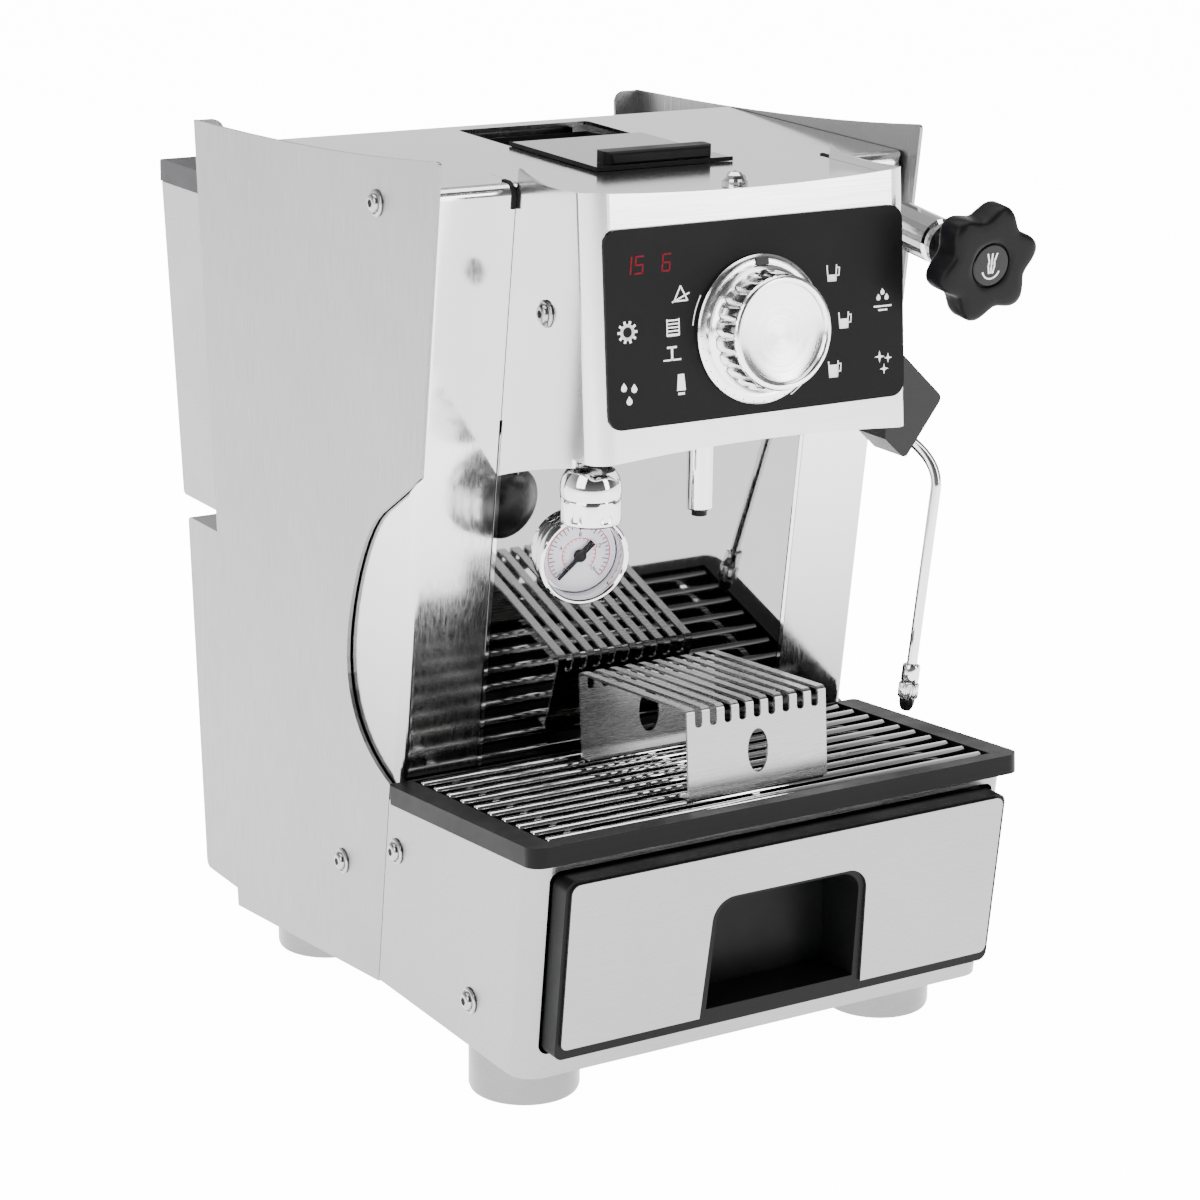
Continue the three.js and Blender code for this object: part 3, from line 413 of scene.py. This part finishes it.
icons.line([(x - 5, z - 2.4), (x + 5, z - 2.4)], 0.8)
icons.line([(x, z - 2.4), (x, z + 4)], 1.2)
icons.line([(x - 2.6, z + 4), (x + 2.6, z + 4)], 1.0)
x, z = on_head(-48, 385)
icons.fill([(x - 1.8, z + 5), (x + 1.8, z + 5), (x + 2.6, z - 3.4), (x - 2.6, z - 3.4)])
icons.line([(x - 1.6, z - 5), (x + 1.6, z - 5)], 1.2)
for x, z, fill in ((46, 433, 3.0), (53, 408, 4.6), (46, 383, 6.2)):
    cup(icons, *on_head(x, z), fill)
x, z = on_head(78, 416)
for dx, dz in ((-2.6, 2.4), (2.6, 2.4), (0, 5.2)):
    drop(icons, x + dx, z + dz - 1, 1.3)
icons.line([(x - 5.4, z - 3), (x + 5.4, z - 3)], 0.9)
icons.line([(x - 2.6, z - 5), (x + 2.6, z - 5)], 0.9)
x, z = on_head(78, 384)
for dx, dz, size in ((-2.4, 2.6, 3.2), (3, 1.6, 2.6), (0.4, -4, 2.8)):
    star(icons, x + dx, z + dz, size)
icons.line(arc(0, DIAL_S, 40.5, 150, 172, 8), 0.5)
icons.line(arc(0, DIAL_S, 40.5, -62, -40, 8), 0.5)
icons.make("panel_icons", HEAD, "machine", PRINT_WHITE, "white_plastic")

SEGMENTS = {"1": "bc", "5": "afgcd", "6": "afgcde"}
DIGIT_X, DIGIT_Z, SLANT = 2.2, 4.2, 0.12
TOP_LEFT, TOP_RIGHT = (-DIGIT_X, DIGIT_Z), (DIGIT_X, DIGIT_Z)
MID_LEFT, MID_RIGHT = (-DIGIT_X, 0), (DIGIT_X, 0)
LOW_LEFT, LOW_RIGHT = (-DIGIT_X, -DIGIT_Z), (DIGIT_X, -DIGIT_Z)
BARS = {"a": (TOP_LEFT, TOP_RIGHT), "b": (TOP_RIGHT, MID_RIGHT), "c": (MID_RIGHT, LOW_RIGHT),
        "d": (LOW_LEFT, LOW_RIGHT), "e": (MID_LEFT, LOW_LEFT), "f": (TOP_LEFT, MID_LEFT),
        "g": (MID_LEFT, MID_RIGHT)}
digits = Print(PANEL_FACE)
for digit, x, z in (("1", -78, 447), ("5", -71, 447), ("6", -55, 447)):
    x, z = on_head(x, z)
    for bar in SEGMENTS[digit]:
        (x0, z0), (x1, z1) = BARS[bar]
        digits.line([(x + x0 + SLANT * z0, z + z0), (x + x1 + SLANT * z1, z + z1)], 0.9)
digits.make("panel_digits", HEAD, "machine", DIGIT_RED, "gloss_black")

# ---------------------------------------------------------------- dial
FLUTES = 22
FLUTE_DEPTH = 1.5
FLUTE_LOW, FLUTE_HIGH = 8.5, 23.5
FLUTED_ABOVE = 28  # radius inside which the dial stays round


def fluted(radius, height, angle):
    """Hollow flutes round the dial's side that run out at both ends."""
    if FLUTE_LOW < height < FLUTE_HIGH and radius > FLUTED_ABOVE:
        ends = math.sin(math.pi * (height - FLUTE_LOW) / (FLUTE_HIGH - FLUTE_LOW)) ** 0.4
        return radius - FLUTE_DEPTH * ends * max(0.0, math.cos(FLUTES * angle)) ** 1.5
    return radius


dial_skirt = [(38.5, 2.4), (38.5, 4.0), (37.9, 4.7), (36.4, 5.6), (34.6, 6.1), (33.2, 5.7), (32.4, 6.3),
              (31.2, 7.6)]
dial_side = [(30.6, 8.4), (30.5, 9.2), (30.4, 10.2), (30.3, 12), (30.2, 14), (30.1, 16), (30.0, 18),
             (29.9, 20), (29.8, 21.6), (29.7, 22.8), (29.6, 23.6)]
dial_front = [(29.0, 24.8), (28.2, 25.4), (27.2, 25.6), (26.2, 25.3), (25.6, 24.4), (25.2, 23.4),
              (24.4, 23.0), (20, 22.6), (12, 22.1), (5, 21.9), (0.3, 21.9)]
dial_profile = dial_skirt + dial_side + dial_front
dial_place = HEAD @ Matrix.Translation((0, 0, DIAL_S))
dial = piece("dial_body", *lathe(dial_profile, 192, fluted), dial_place, "dial", DIAL_METAL, "chrome", 40)
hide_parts("dial_knob")
window = Print(6.0, 0.5)
window.fill([(-4.2, 33.2), (4.2, 33.2), (3.6, 37.2), (-3.6, 37.2)])
window.make("dial_window", dial_place, "dial", BLACK_GLOSS, "black_plastic")
ticks = Print(5.2, 0.3)
for degrees in range(0, 360, 10):
    beside_window = 60 < degrees < 120
    if not beside_window:
        ticks.spoke(0, 0, rad(degrees), 34.2, 37.2, 0.35)
ticks.make("dial_ticks", dial_place, "dial", PRINT_DARK, "black_plastic")

# ---------------------------------------------------------------- steam knob
LOBES = 6
FIRST_LOBE = rad(15)
LOBE_DEPTH, GRIP_RADIUS = 3.4, 28.0
ROUND_INSIDE = 14  # radius inside which the knob is round


def lobed(radius, height, angle):
    """Six lobes that grow towards the rim of the knob."""
    if radius <= ROUND_INSIDE:
        return radius
    depth = LOBE_DEPTH * (radius / GRIP_RADIUS) ** 2.5
    return radius + depth * math.cos(LOBES * (angle - FIRST_LOBE))


knob_profile = [(12, 97.8), (24, 98.0), (26.6, 98.6), (27.6, 99.8), (GRIP_RADIUS, 101.6),
                (GRIP_RADIUS, 112.2), (27.5, 113.9), (26.4, 115.1), (24.6, 115.7), (20, 115.9),
                (15, 115.8), (12.6, 115.7), (12.0, 115.0), (11.9, 113.8), (0.3, 113.8)]
grip = lathe(knob_profile, 144, lobed)
knob = piece("steam_knob_grip", *grip, VALVE, "steam_tap", BLACK, "black_plastic", 50)
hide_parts("steam_knob")
CAP_FACE = 115.5
cap_profile = [(11.3, 113.9), (11.3, 114.9), (10.8, 115.4), (9.6, CAP_FACE), (0.3, CAP_FACE)]
piece("steam_knob_cap", *lathe(cap_profile, 64), VALVE, "steam_tap", BLACK_GLOSS, "black_plastic")
steam = Print(CAP_FACE, 0.15)
steam.line(arc(0, -1.5, 5.6, 200, 340, 10), 0.9)
for lean in (-1, 0, 1):
    steam.line([(lean * 1.2, -4.0), (lean * 2.0, 0), (lean * 1.7, 2.4), (lean * 3.0, 6.4)], 0.9)
steam.make("steam_icon", VALVE, "steam_tap", PRINT_WHITE, "white_plastic")

# ---------------------------------------------------------------- gauge face
SCALE_START, SCALE_SWEEP = 225, 270  # degrees; the scale runs clockwise from the lower left
SCALE_END = SCALE_START - SCALE_SWEEP
DIAL_SURFACE = -5.6
OUTER_SCALE, INNER_SCALE = 17.3, 9.4


def on_scale(step, steps):
    return rad(SCALE_START - SCALE_SWEEP * step / steps)


ink = Print(DIAL_SURFACE, 0.1)
red = Print(DIAL_SURFACE, 0.1)
for i in range(33):
    ink.spoke(0, 0, on_scale(i, 32), 13.6 if i % 4 == 0 else 15.0, 16.8, 0.45)
red.line(arc(0, 0, OUTER_SCALE, SCALE_START, SCALE_END, 40), 0.4)
red.line(arc(0, 0, INNER_SCALE, SCALE_START, SCALE_END, 40), 0.35)
for i in range(19):
    red.spoke(0, 0, on_scale(i, 18), INNER_SCALE, 8.0, 0.35)
ink.make("gauge_ticks", GAUGE, "machine", PRINT_DARK, "black_plastic")
red.make("gauge_scale", GAUGE, "machine", PRINT_RED, "white_plastic")
NUMBER_RADIUS = 11.4
for i, number in enumerate(("0", "4", "8", "12", "16")):
    a = on_scale(i, 4)
    text = bpy.data.curves.new(f"gauge_number_{i}", "FONT")
    text.body = number
    text.size = 3.4
    text.align_x, text.align_y = "CENTER", "CENTER"
    text.materials.append(PRINT_DARK)
    label = bpy.data.objects.new(f"gauge_number_{i}", text)
    bpy.context.scene.collection.objects.link(label)
    spot = Matrix.Translation((NUMBER_RADIUS * math.cos(a), 5.4, NUMBER_RADIUS * math.sin(a)))
    label.matrix_world = GAUGE @ spot @ Matrix.Rotation(rad(90), 4, "X")
    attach(label, "machine")
glass_profile = [(20.9, 0.4), (20.9, 1.0), (17, 1.6), (8, 2.0), (0.3, 2.1)]
piece("gauge_glass", *lathe(glass_profile, 64), GAUGE, "machine", GLASS.material, "chrome")

# The case's profile runs from its back to the rim and down into the well; depths are behind the face.
case_back = [(5, 29), (10, 28.2), (14, 26.4), (16, 24.6), (17, 23.8), (20, 22.6), (20.6, 21.8)]
case_rings = [(20.6, 17), (21.4, 16), (22.6, 15.4), (23, 14.6), (23, 11.4), (22.7, 10.6), (22.4, 10),
              (23.2, 9.4), (23.8, 8.6), (23.8, 5.4), (23.4, 4.4), (23.2, 4)]
case_rim = [(24.6, 3.4), (25, 2.4), (25, -1.6), (24.7, -2.8), (23.9, -3.4), (22.9, -3.4), (22.2, -2.8),
            (21.6, -1.2), (21.2, 1.5), (21.0, 7)]
case_profile = [(radius, -depth) for radius, depth in case_back + case_rings + case_rim]
CASE_SIDES = 96
case = piece("gauge_shell", *lathe(case_profile, CASE_SIDES), GAUGE, "machine", CHROME, "chrome", 25)
case.data.materials.append(SIDE_STEEL)
back_faces = (len(case_back) - 1) * CASE_SIDES
end_disc = (len(case_profile) - 1) * CASE_SIDES
for number, polygon in enumerate(case.data.polygons):
    polygon.material_index = 1 if number < back_faces or number == end_disc else 0
STEM_LOW, STEM_HIGH = 298, 335
stem_profile = [(4.8, STEM_LOW), (5, STEM_LOW + 1), (5, STEM_HIGH)]
stem_place = standing(at(-69, 104, 0))
piece("gauge_stem", *lathe(stem_profile, 40), stem_place, "machine", CHROME, "chrome")
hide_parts("gauge_case")

# ---------------------------------------------------------------- screws
# Places of the screws on the right side; each has a twin on the left.
SCREWS = {"panel_top": (150, 173, 465), "panel_low": (150, 220, 86), "base_rear": (150, 155, 113),
          "base_front": (150, 73, 56), "head": (98, 87, 417)}
SCREW_HEAD = [(7.2, 0.3), (7.2, 0.9), (6.6, 1.4), (5.9, 1.6), (5.5, 1.0), (5.1, 1.1), (5.0, 2.4),
              (4.5, 3.4), (3.6, 3.9), (2.6, 4.1)]
# Painted shade: each screw's hex socket is a thin black disc on the head, standing in for the shade inside
# the recess.
SOCKET_SHADE = [(2.3, 3.9), (2.3, 4.14)]
for place, (sx, sy, sz) in SCREWS.items():
    for side, sign in (("left", -1), ("right", 1)):
        turn = Matrix.Rotation(sign * rad(90), 4, "Z")
        matrix = Matrix.Translation(at(sign * sx, sy, sz)) @ turn @ Matrix.Scale(MM, 4)
        label = f"{place}_{side}"
        button = lathe(SCREW_HEAD, 48)
        head = piece(f"screw_head_{label}", *button, matrix, "machine", SCREW_STEEL, "chrome", 35)
        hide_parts(f"screw_{label}")
        # The dark hexagon made here is painted shade for the socket's recess.
        socket = lathe(SOCKET_SHADE, 6)
        piece(f"screw_socket_shade_{label}", *socket, matrix, "machine", RUBBER, "black_plastic")

# ---------------------------------------------------------------- drip grid
BAR_COUNT, BAR_FIRST, BAR_PITCH = 10, 16, 14.9
BAR_RADIUS, BAR_HALF, BAR_SIDES = 2.6, 137.7, 20
BAR_Z = -2.3
BAR_CHAMFER = 0.8
RAIL_Y, RAIL_Z = (14.6, 151.6), (-8.2, -3.8)
BOX_FACES = ((0, 1, 3, 2), (4, 6, 7, 5), (0, 4, 5, 1), (2, 3, 7, 6), (1, 5, 7, 3), (0, 2, 6, 4))


def add_bar(points, faces, y):
    """One round bar along X with its ends bevelled."""
    base, sides = len(points), BAR_SIDES
    shoulder = BAR_HALF - BAR_CHAMFER
    end_radius = BAR_RADIUS * 0.7
    rings = ((-BAR_HALF, end_radius), (-shoulder, BAR_RADIUS), (shoulder, BAR_RADIUS), (BAR_HALF, end_radius))
    for x, r in rings:
        for i in range(sides):
            a = 2 * math.pi * i / sides
            points.append((x, y + r * math.cos(a), BAR_Z + r * math.sin(a)))
    for row in range(3):
        for i in range(sides):
            j = (i + 1) % sides
            faces.append((base + row * sides + i, base + row * sides + j,
                          base + (row + 1) * sides + j, base + (row + 1) * sides + i))
    faces.append(tuple(base + i for i in range(sides))[::-1])
    faces.append(tuple(base + 3 * sides + i for i in range(sides)))


points, faces = [], []
for i in range(BAR_COUNT):
    add_bar(points, faces, BAR_FIRST + BAR_PITCH * i)
for x in (-118, 0, 118):
    low = len(points)
    points += [(x + dx, y, z) for dx in (-2, 2) for y in RAIL_Y for z in RAIL_Z]
    faces += [tuple(low + i for i in quad) for quad in BOX_FACES]
grid = piece("grid_bars", points, faces, TRAY, "grid", CHROME, "chrome", 50)
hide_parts("drip_grid")

# ---------------------------------------------------------------- seams and gaskets
def strip(name, path, x0, x1, depth, material, slot):
    """A strip from x0 to x1 along a path; each step has its (y, z) point and the way its depth runs."""
    points, faces = [], []
    for (y, z), (dy, dz) in path:
        out_y, out_z = y + dy * depth, z + dz * depth
        points += [(x0, y, z), (x1, y, z), (x1, out_y, out_z), (x0, out_y, out_z)]
    for row in range(len(path) - 1):
        for i in range(4):
            j = (i + 1) % 4
            faces.append((4 * row + i, 4 * row + j, 4 * row + 4 + j, 4 * row + 4 + i))
    last = 4 * (len(path) - 1)
    faces += [(3, 2, 1, 0), (last, last + 1, last + 2, last + 3)]
    piece(name, points, faces, GROUND, "machine", material, slot)


def upright(z0, z1):
    """A straight path up the column fronts."""
    out = (-math.cos(COLUMN_LEAN), -math.sin(COLUMN_LEAN))
    return [((column_y(z), z), out) for z in (z0, z1)]


# Where the seam between column and head bends over into the top cover.
TOP_BEND = [((column_y(466), 466), (-1, -0.1)), ((column_y(473), 473), (-1, 0.0)),
            ((119.6, 477.2), (-0.8, 0.6)), ((123.5, 479.0), (-0.2, 1)), ((129, 479.2), (0, 1))]
for side, sign in (("left", -1), ("right", 1)):
    edge = sorted((sign * 96.0, sign * 98.2))
    strip(f"splash_edge_{side}", upright(152, 344), *edge, 0.5, CHROME, "chrome")
    fill = sorted((sign * 98.25, sign * 98.95))
    strip(f"seam_fill_{side}", upright(352, 470), *fill, -0.5, COLUMN_STEEL, "polished_steel")
    rubber = sorted((sign * 98.3, sign * 100.7))
    strip(f"seam_gasket_{side}", TOP_BEND, *rubber, 0.8, RUBBER, "black_plastic")


def lid_trim(name, x0, x1, y0, y1):
    """A thin dark edge along one side of the hopper lid."""
    outline = [(x0, y0), (x1, y0), (x1, y1), (x0, y1)]
    points = [(x, y, z) for z in (0, 2.2) for x, y in outline]
    faces = [(3, 2, 1, 0), (4, 5, 6, 7)] + [(i, (i + 1) % 4, 4 + (i + 1) % 4, 4 + i) for i in range(4)]
    piece(name, points, faces, COVER, "hopper_cover", RUBBER, "black_plastic")


lid_trim("lid_edge_left", -42.9, -42.1, 131.0, 222.5)
lid_trim("lid_edge_front", -42.9, 42.6, 130.4, 131.3)

# ---------------------------------------------------------------- steam wand
def tube(path, radius, sides=24):
    """Points and faces of a round tube; one side vector is carried along, so it doesn't twist."""
    points, faces = [], []
    side = Vector((1, 0, 0))
    for i, p in enumerate(path):
        ahead = (path[min(i + 1, len(path) - 1)] - path[max(i - 1, 0)]).normalized()
        side = (side - ahead * side.dot(ahead)).normalized()
        other = ahead.cross(side)
        for k in range(sides):
            a = 2 * math.pi * k / sides
            points.append(tuple(p + (side * math.cos(a) + other * math.sin(a)) * radius))
    for row in range(len(path) - 1):
        for k in range(sides):
            n = (k + 1) % sides
            faces.append((row * sides + k, row * sides + n, (row + 1) * sides + n, (row + 1) * sides + k))
    faces.append(tuple(range(sides))[::-1])
    faces.append(tuple((len(path) - 1) * sides + k for k in range(sides)))
    return points, faces


def facing(direction):
    """The turn that points a lathe's heights along a direction."""
    return Vector((0, -1, 0)).rotation_difference(direction).to_matrix().to_4x4()


start = Vector((120.4, 72.5, 332.1))
bend = Vector((134.8, 61.2, 302))
collar = Vector((123.1, 60.8, 204.4))
down = (collar - bend).normalized()
handles = (start, start + Vector((12, 0, -9)), bend - down * 14, bend)
path = []
for i in range(25):
    t = i / 24
    weights = ((1 - t) ** 3, 3 * t * (1 - t) ** 2, 3 * t * t * (1 - t), t ** 3)
    path.append(sum((h * w for h, w in zip(handles, weights)), Vector()))
path += [bend.lerp(collar, i / 6) for i in range(1, 7)]
pipe = piece("wand_pipe", *tube(path, 2.9), GROUND, "wand", CHROME, "chrome", 40)
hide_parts("wand_tube")
pivot_profile = [(6.4, -1), (6.4, 1.5), (5.6, 2.6), (4.4, 4), (3.6, 6), (3.3, 7)]
pivot_place = GROUND @ Matrix.Translation(start) @ facing(Vector((0.8, 0, -0.6)))
piece("wand_nub", *lathe(pivot_profile, 40), pivot_place, "wand", BLACK_GLOSS, "black_plastic")
KNURLS, KNURL_DEPTH = 30, 0.22
KNURL_LOW, KNURL_HIGH = 11.5, 19


def knurled(radius, height, angle):
    """Fine ridges round the middle of the wand's collar."""
    ridge = KNURL_DEPTH * math.cos(KNURLS * angle) if KNURL_LOW < height < KNURL_HIGH else 0
    return radius + ridge


tip_place = GROUND @ Matrix.Translation(collar) @ facing(down)
tip_profile = [(3.4, 0.3), (4.6, 0.8), (5, 2), (5, 9.4), (4.6, 10.6), (5.2, 11.2), (5.5, 11.8),
               (5.5, 18.8), (5.1, 19.8), (4.2, 20.2)]
tip = piece("wand_collar", *lathe(tip_profile, 120, knurled), tip_place, "wand", CHROME, "chrome", 35)
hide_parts("wand_tip")
nozzle_profile = [(4.4, 20.2), (4.3, 22.4), (3.6, 25.2), (2.4, 27.0), (0.3, 27.2)]
piece("wand_nozzle", *lathe(nozzle_profile, 48), tip_place, "wand", BLACK_GLOSS, "black_plastic")

# ---------------------------------------------------------------- smooth feet, spout and fitting
FOOT = [(27.5, 0), (29.4, 0.7), (30, 2.4), (30, 24), (29.7, 26.6), (29.0, 28.6), (28.6, 29.4)]
for name in [n for n in NODES if n.startswith("foot_")]:
    low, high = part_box(name)
    matrix = standing(((low.x + high.x) / 2, (low.y + high.y) / 2, 0))
    made = piece(f"{name}_turned", *lathe(FOOT, 96), matrix, "machine", FOOT_ALUMINIUM, "aluminium", 35)
    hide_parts(name)
spout_profile = [(4.6, 301.5), (6.4, 301.5), (7, 302.3), (7, 352), (6.6, 356), (1.6, 356)]
spout_place = standing(at(0, SPOUT_Y, 0))
spout = piece("spout_tube", *lathe(spout_profile, 64), spout_place, "machine", CHROME, "chrome", 35)
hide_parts("coffee_spout")
NUT_LOW, NUT_HIGH = 313, 323
NUT_FLAT = 15.4  # from the axis to a flat
SIXTH = math.pi / 3


def faceted(radius, height, angle):
    """Six flats round the lower part of the gauge's fitting."""
    if NUT_LOW < height < NUT_HIGH:
        return min(radius, NUT_FLAT / max(math.cos((angle % SIXTH) - SIXTH / 2), 0.87))
    return radius


fitting_profile = [(12.0, 310), (14.4, 310.2), (15.6, 311.2), (16.0, 312.6), (16.2, 313.4), (16.2, 322),
                   (15.9, 323.5), (15.5, 324.2), (15.9, 325), (16.1, 328), (15.8, 331.6), (14.8, 335.2),
                   (12.6, 338.4), (9, 340), (0.3, 340.4)]
fitting_place = standing(at(-83, 66, 0))
nut = lathe(fitting_profile, 96, faceted)
fitting = piece("fitting_nut", *nut, fitting_place, "machine", CHROME, "chrome", 30)
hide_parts("gauge_fitting")

# ---------------------------------------------------------------- stage, light and camera
FLOOR_HALF = 30
FLOOR_LIGHT, FLOOR_SEEN = 3.2, 14.0  # the floor's glow on the machine, and as the camera sees it
SKY_STRENGTH = 1.8
floor_corners = [(x * FLOOR_HALF, y * FLOOR_HALF, 0) for x, y in ((-1, -1), (1, -1), (1, 1), (-1, 1))]
floor_mesh = bpy.data.meshes.new("floor")
floor_mesh.from_pydata(floor_corners, [], [(0, 1, 2, 3)])
floor_paint = Recipe("floor_white", (0.93, 0.93, 0.93), 0.75)
floor_paint.set("Emission Color", (1, 1, 1, 1))
eye = floor_paint.node("ShaderNodeLightPath")
glow = floor_paint.node("ShaderNodeMapRange", to_min=FLOOR_LIGHT, to_max=FLOOR_SEEN)
floor_paint.link(eye.outputs["Is Camera Ray"], glow.inputs["Value"])
floor_paint.link(glow.outputs["Result"], floor_paint.shader.inputs["Emission Strength"])
floor_mesh.materials.append(floor_paint.material)
floor = bpy.data.objects.new("floor", floor_mesh)
bpy.context.scene.collection.objects.link(floor)

# The sky is white at the horizon, darker overhead, and darker in front of the machine than behind it.
world = bpy.data.worlds.new("studio")
bpy.context.scene.world = world
world.use_nodes = True
sky = world.node_tree
direction = sky.nodes.new("ShaderNodeTexCoord")
split = sky.nodes.new("ShaderNodeSeparateXYZ")
ramp = sky.nodes.new("ShaderNodeValToRGB")
rear = sky.nodes.new("ShaderNodeMapRange")
rear.inputs["From Min"].default_value = -0.5
rear.inputs["From Max"].default_value = 0.6
rear.inputs["To Min"].default_value = 0.16
rear.inputs["To Max"].default_value = 1.0
mixed = sky.nodes.new("ShaderNodeVectorMath")
mixed.operation = "SCALE"
sky.links.new(direction.outputs["Generated"], split.inputs["Vector"])
sky.links.new(split.outputs["Z"], ramp.inputs["Fac"])
sky.links.new(split.outputs["Y"], rear.inputs["Value"])
sky.links.new(ramp.outputs["Color"], mixed.inputs[0])
sky.links.new(rear.outputs["Result"], mixed.inputs["Scale"])
sky.links.new(mixed.outputs["Vector"], sky.nodes["Background"].inputs["Color"])
ramp.color_ramp.elements[0].position = 0.0
ramp.color_ramp.elements[0].color = (1, 1, 1, 1)
ramp.color_ramp.elements[1].position = 0.95
ramp.color_ramp.elements[1].color = (0.25, 0.25, 0.25, 1)
band = ramp.color_ramp.elements.new(0.5)
band.color = (0.35, 0.35, 0.36, 1)
sky.nodes["Background"].inputs["Strength"].default_value = SKY_STRENGTH


def softbox(name, place, aim, width, height, power):
    """A rectangular lamp; places in metres, power in watts."""
    light = bpy.data.lights.new(name, "AREA")
    light.shape = "RECTANGLE"
    light.size, light.size_y = width, height
    light.energy = power
    lamp = bpy.data.objects.new(name, light)
    lamp.location = place
    lamp.rotation_euler = (Vector(aim) - Vector(place)).to_track_quat("-Z", "Y").to_euler()
    bpy.context.scene.collection.objects.link(lamp)


softbox("key_left", (-2.6, -1.0, 1.7), (0, 0, 0.25), 1.8, 2.2, 75)
softbox("top_soft", (0.1, 0.2, 2.6), (0, 0, 0.2), 2.6, 2.2, 70)
softbox("front_right", (1.5, -2.6, 1.3), (0, 0, 0.25), 0.9, 2.0, 45)

CAMERA_AT = (-926.9, -1326.8, 744.8)
AZIMUTH, ELEVATION, ROLL = rad(31.4), rad(16.3), rad(0.7)
FOCAL_PIXELS, FRAME_PIXELS, SENSOR = 3272.8, 1200, 36.0
level = math.cos(ELEVATION)
forward = Vector((math.sin(AZIMUTH) * level, math.cos(AZIMUTH) * level, -math.sin(ELEVATION)))
flat_right = Vector((math.cos(AZIMUTH), -math.sin(AZIMUTH), 0))
flat_up = flat_right.cross(forward)
right = flat_right * math.cos(ROLL) + flat_up * math.sin(ROLL)
up = flat_up * math.cos(ROLL) - flat_right * math.sin(ROLL)
lens = bpy.data.cameras.new("view")
lens.sensor_width = SENSOR
lens.lens = SENSOR * FOCAL_PIXELS / FRAME_PIXELS
camera = bpy.data.objects.new("view", lens)
aim = Matrix((right, up, -forward)).transposed().to_4x4()
camera.matrix_world = Matrix.Translation(at(*CAMERA_AT)) @ aim
bpy.context.scene.collection.objects.link(camera)
bpy.context.scene.camera = camera
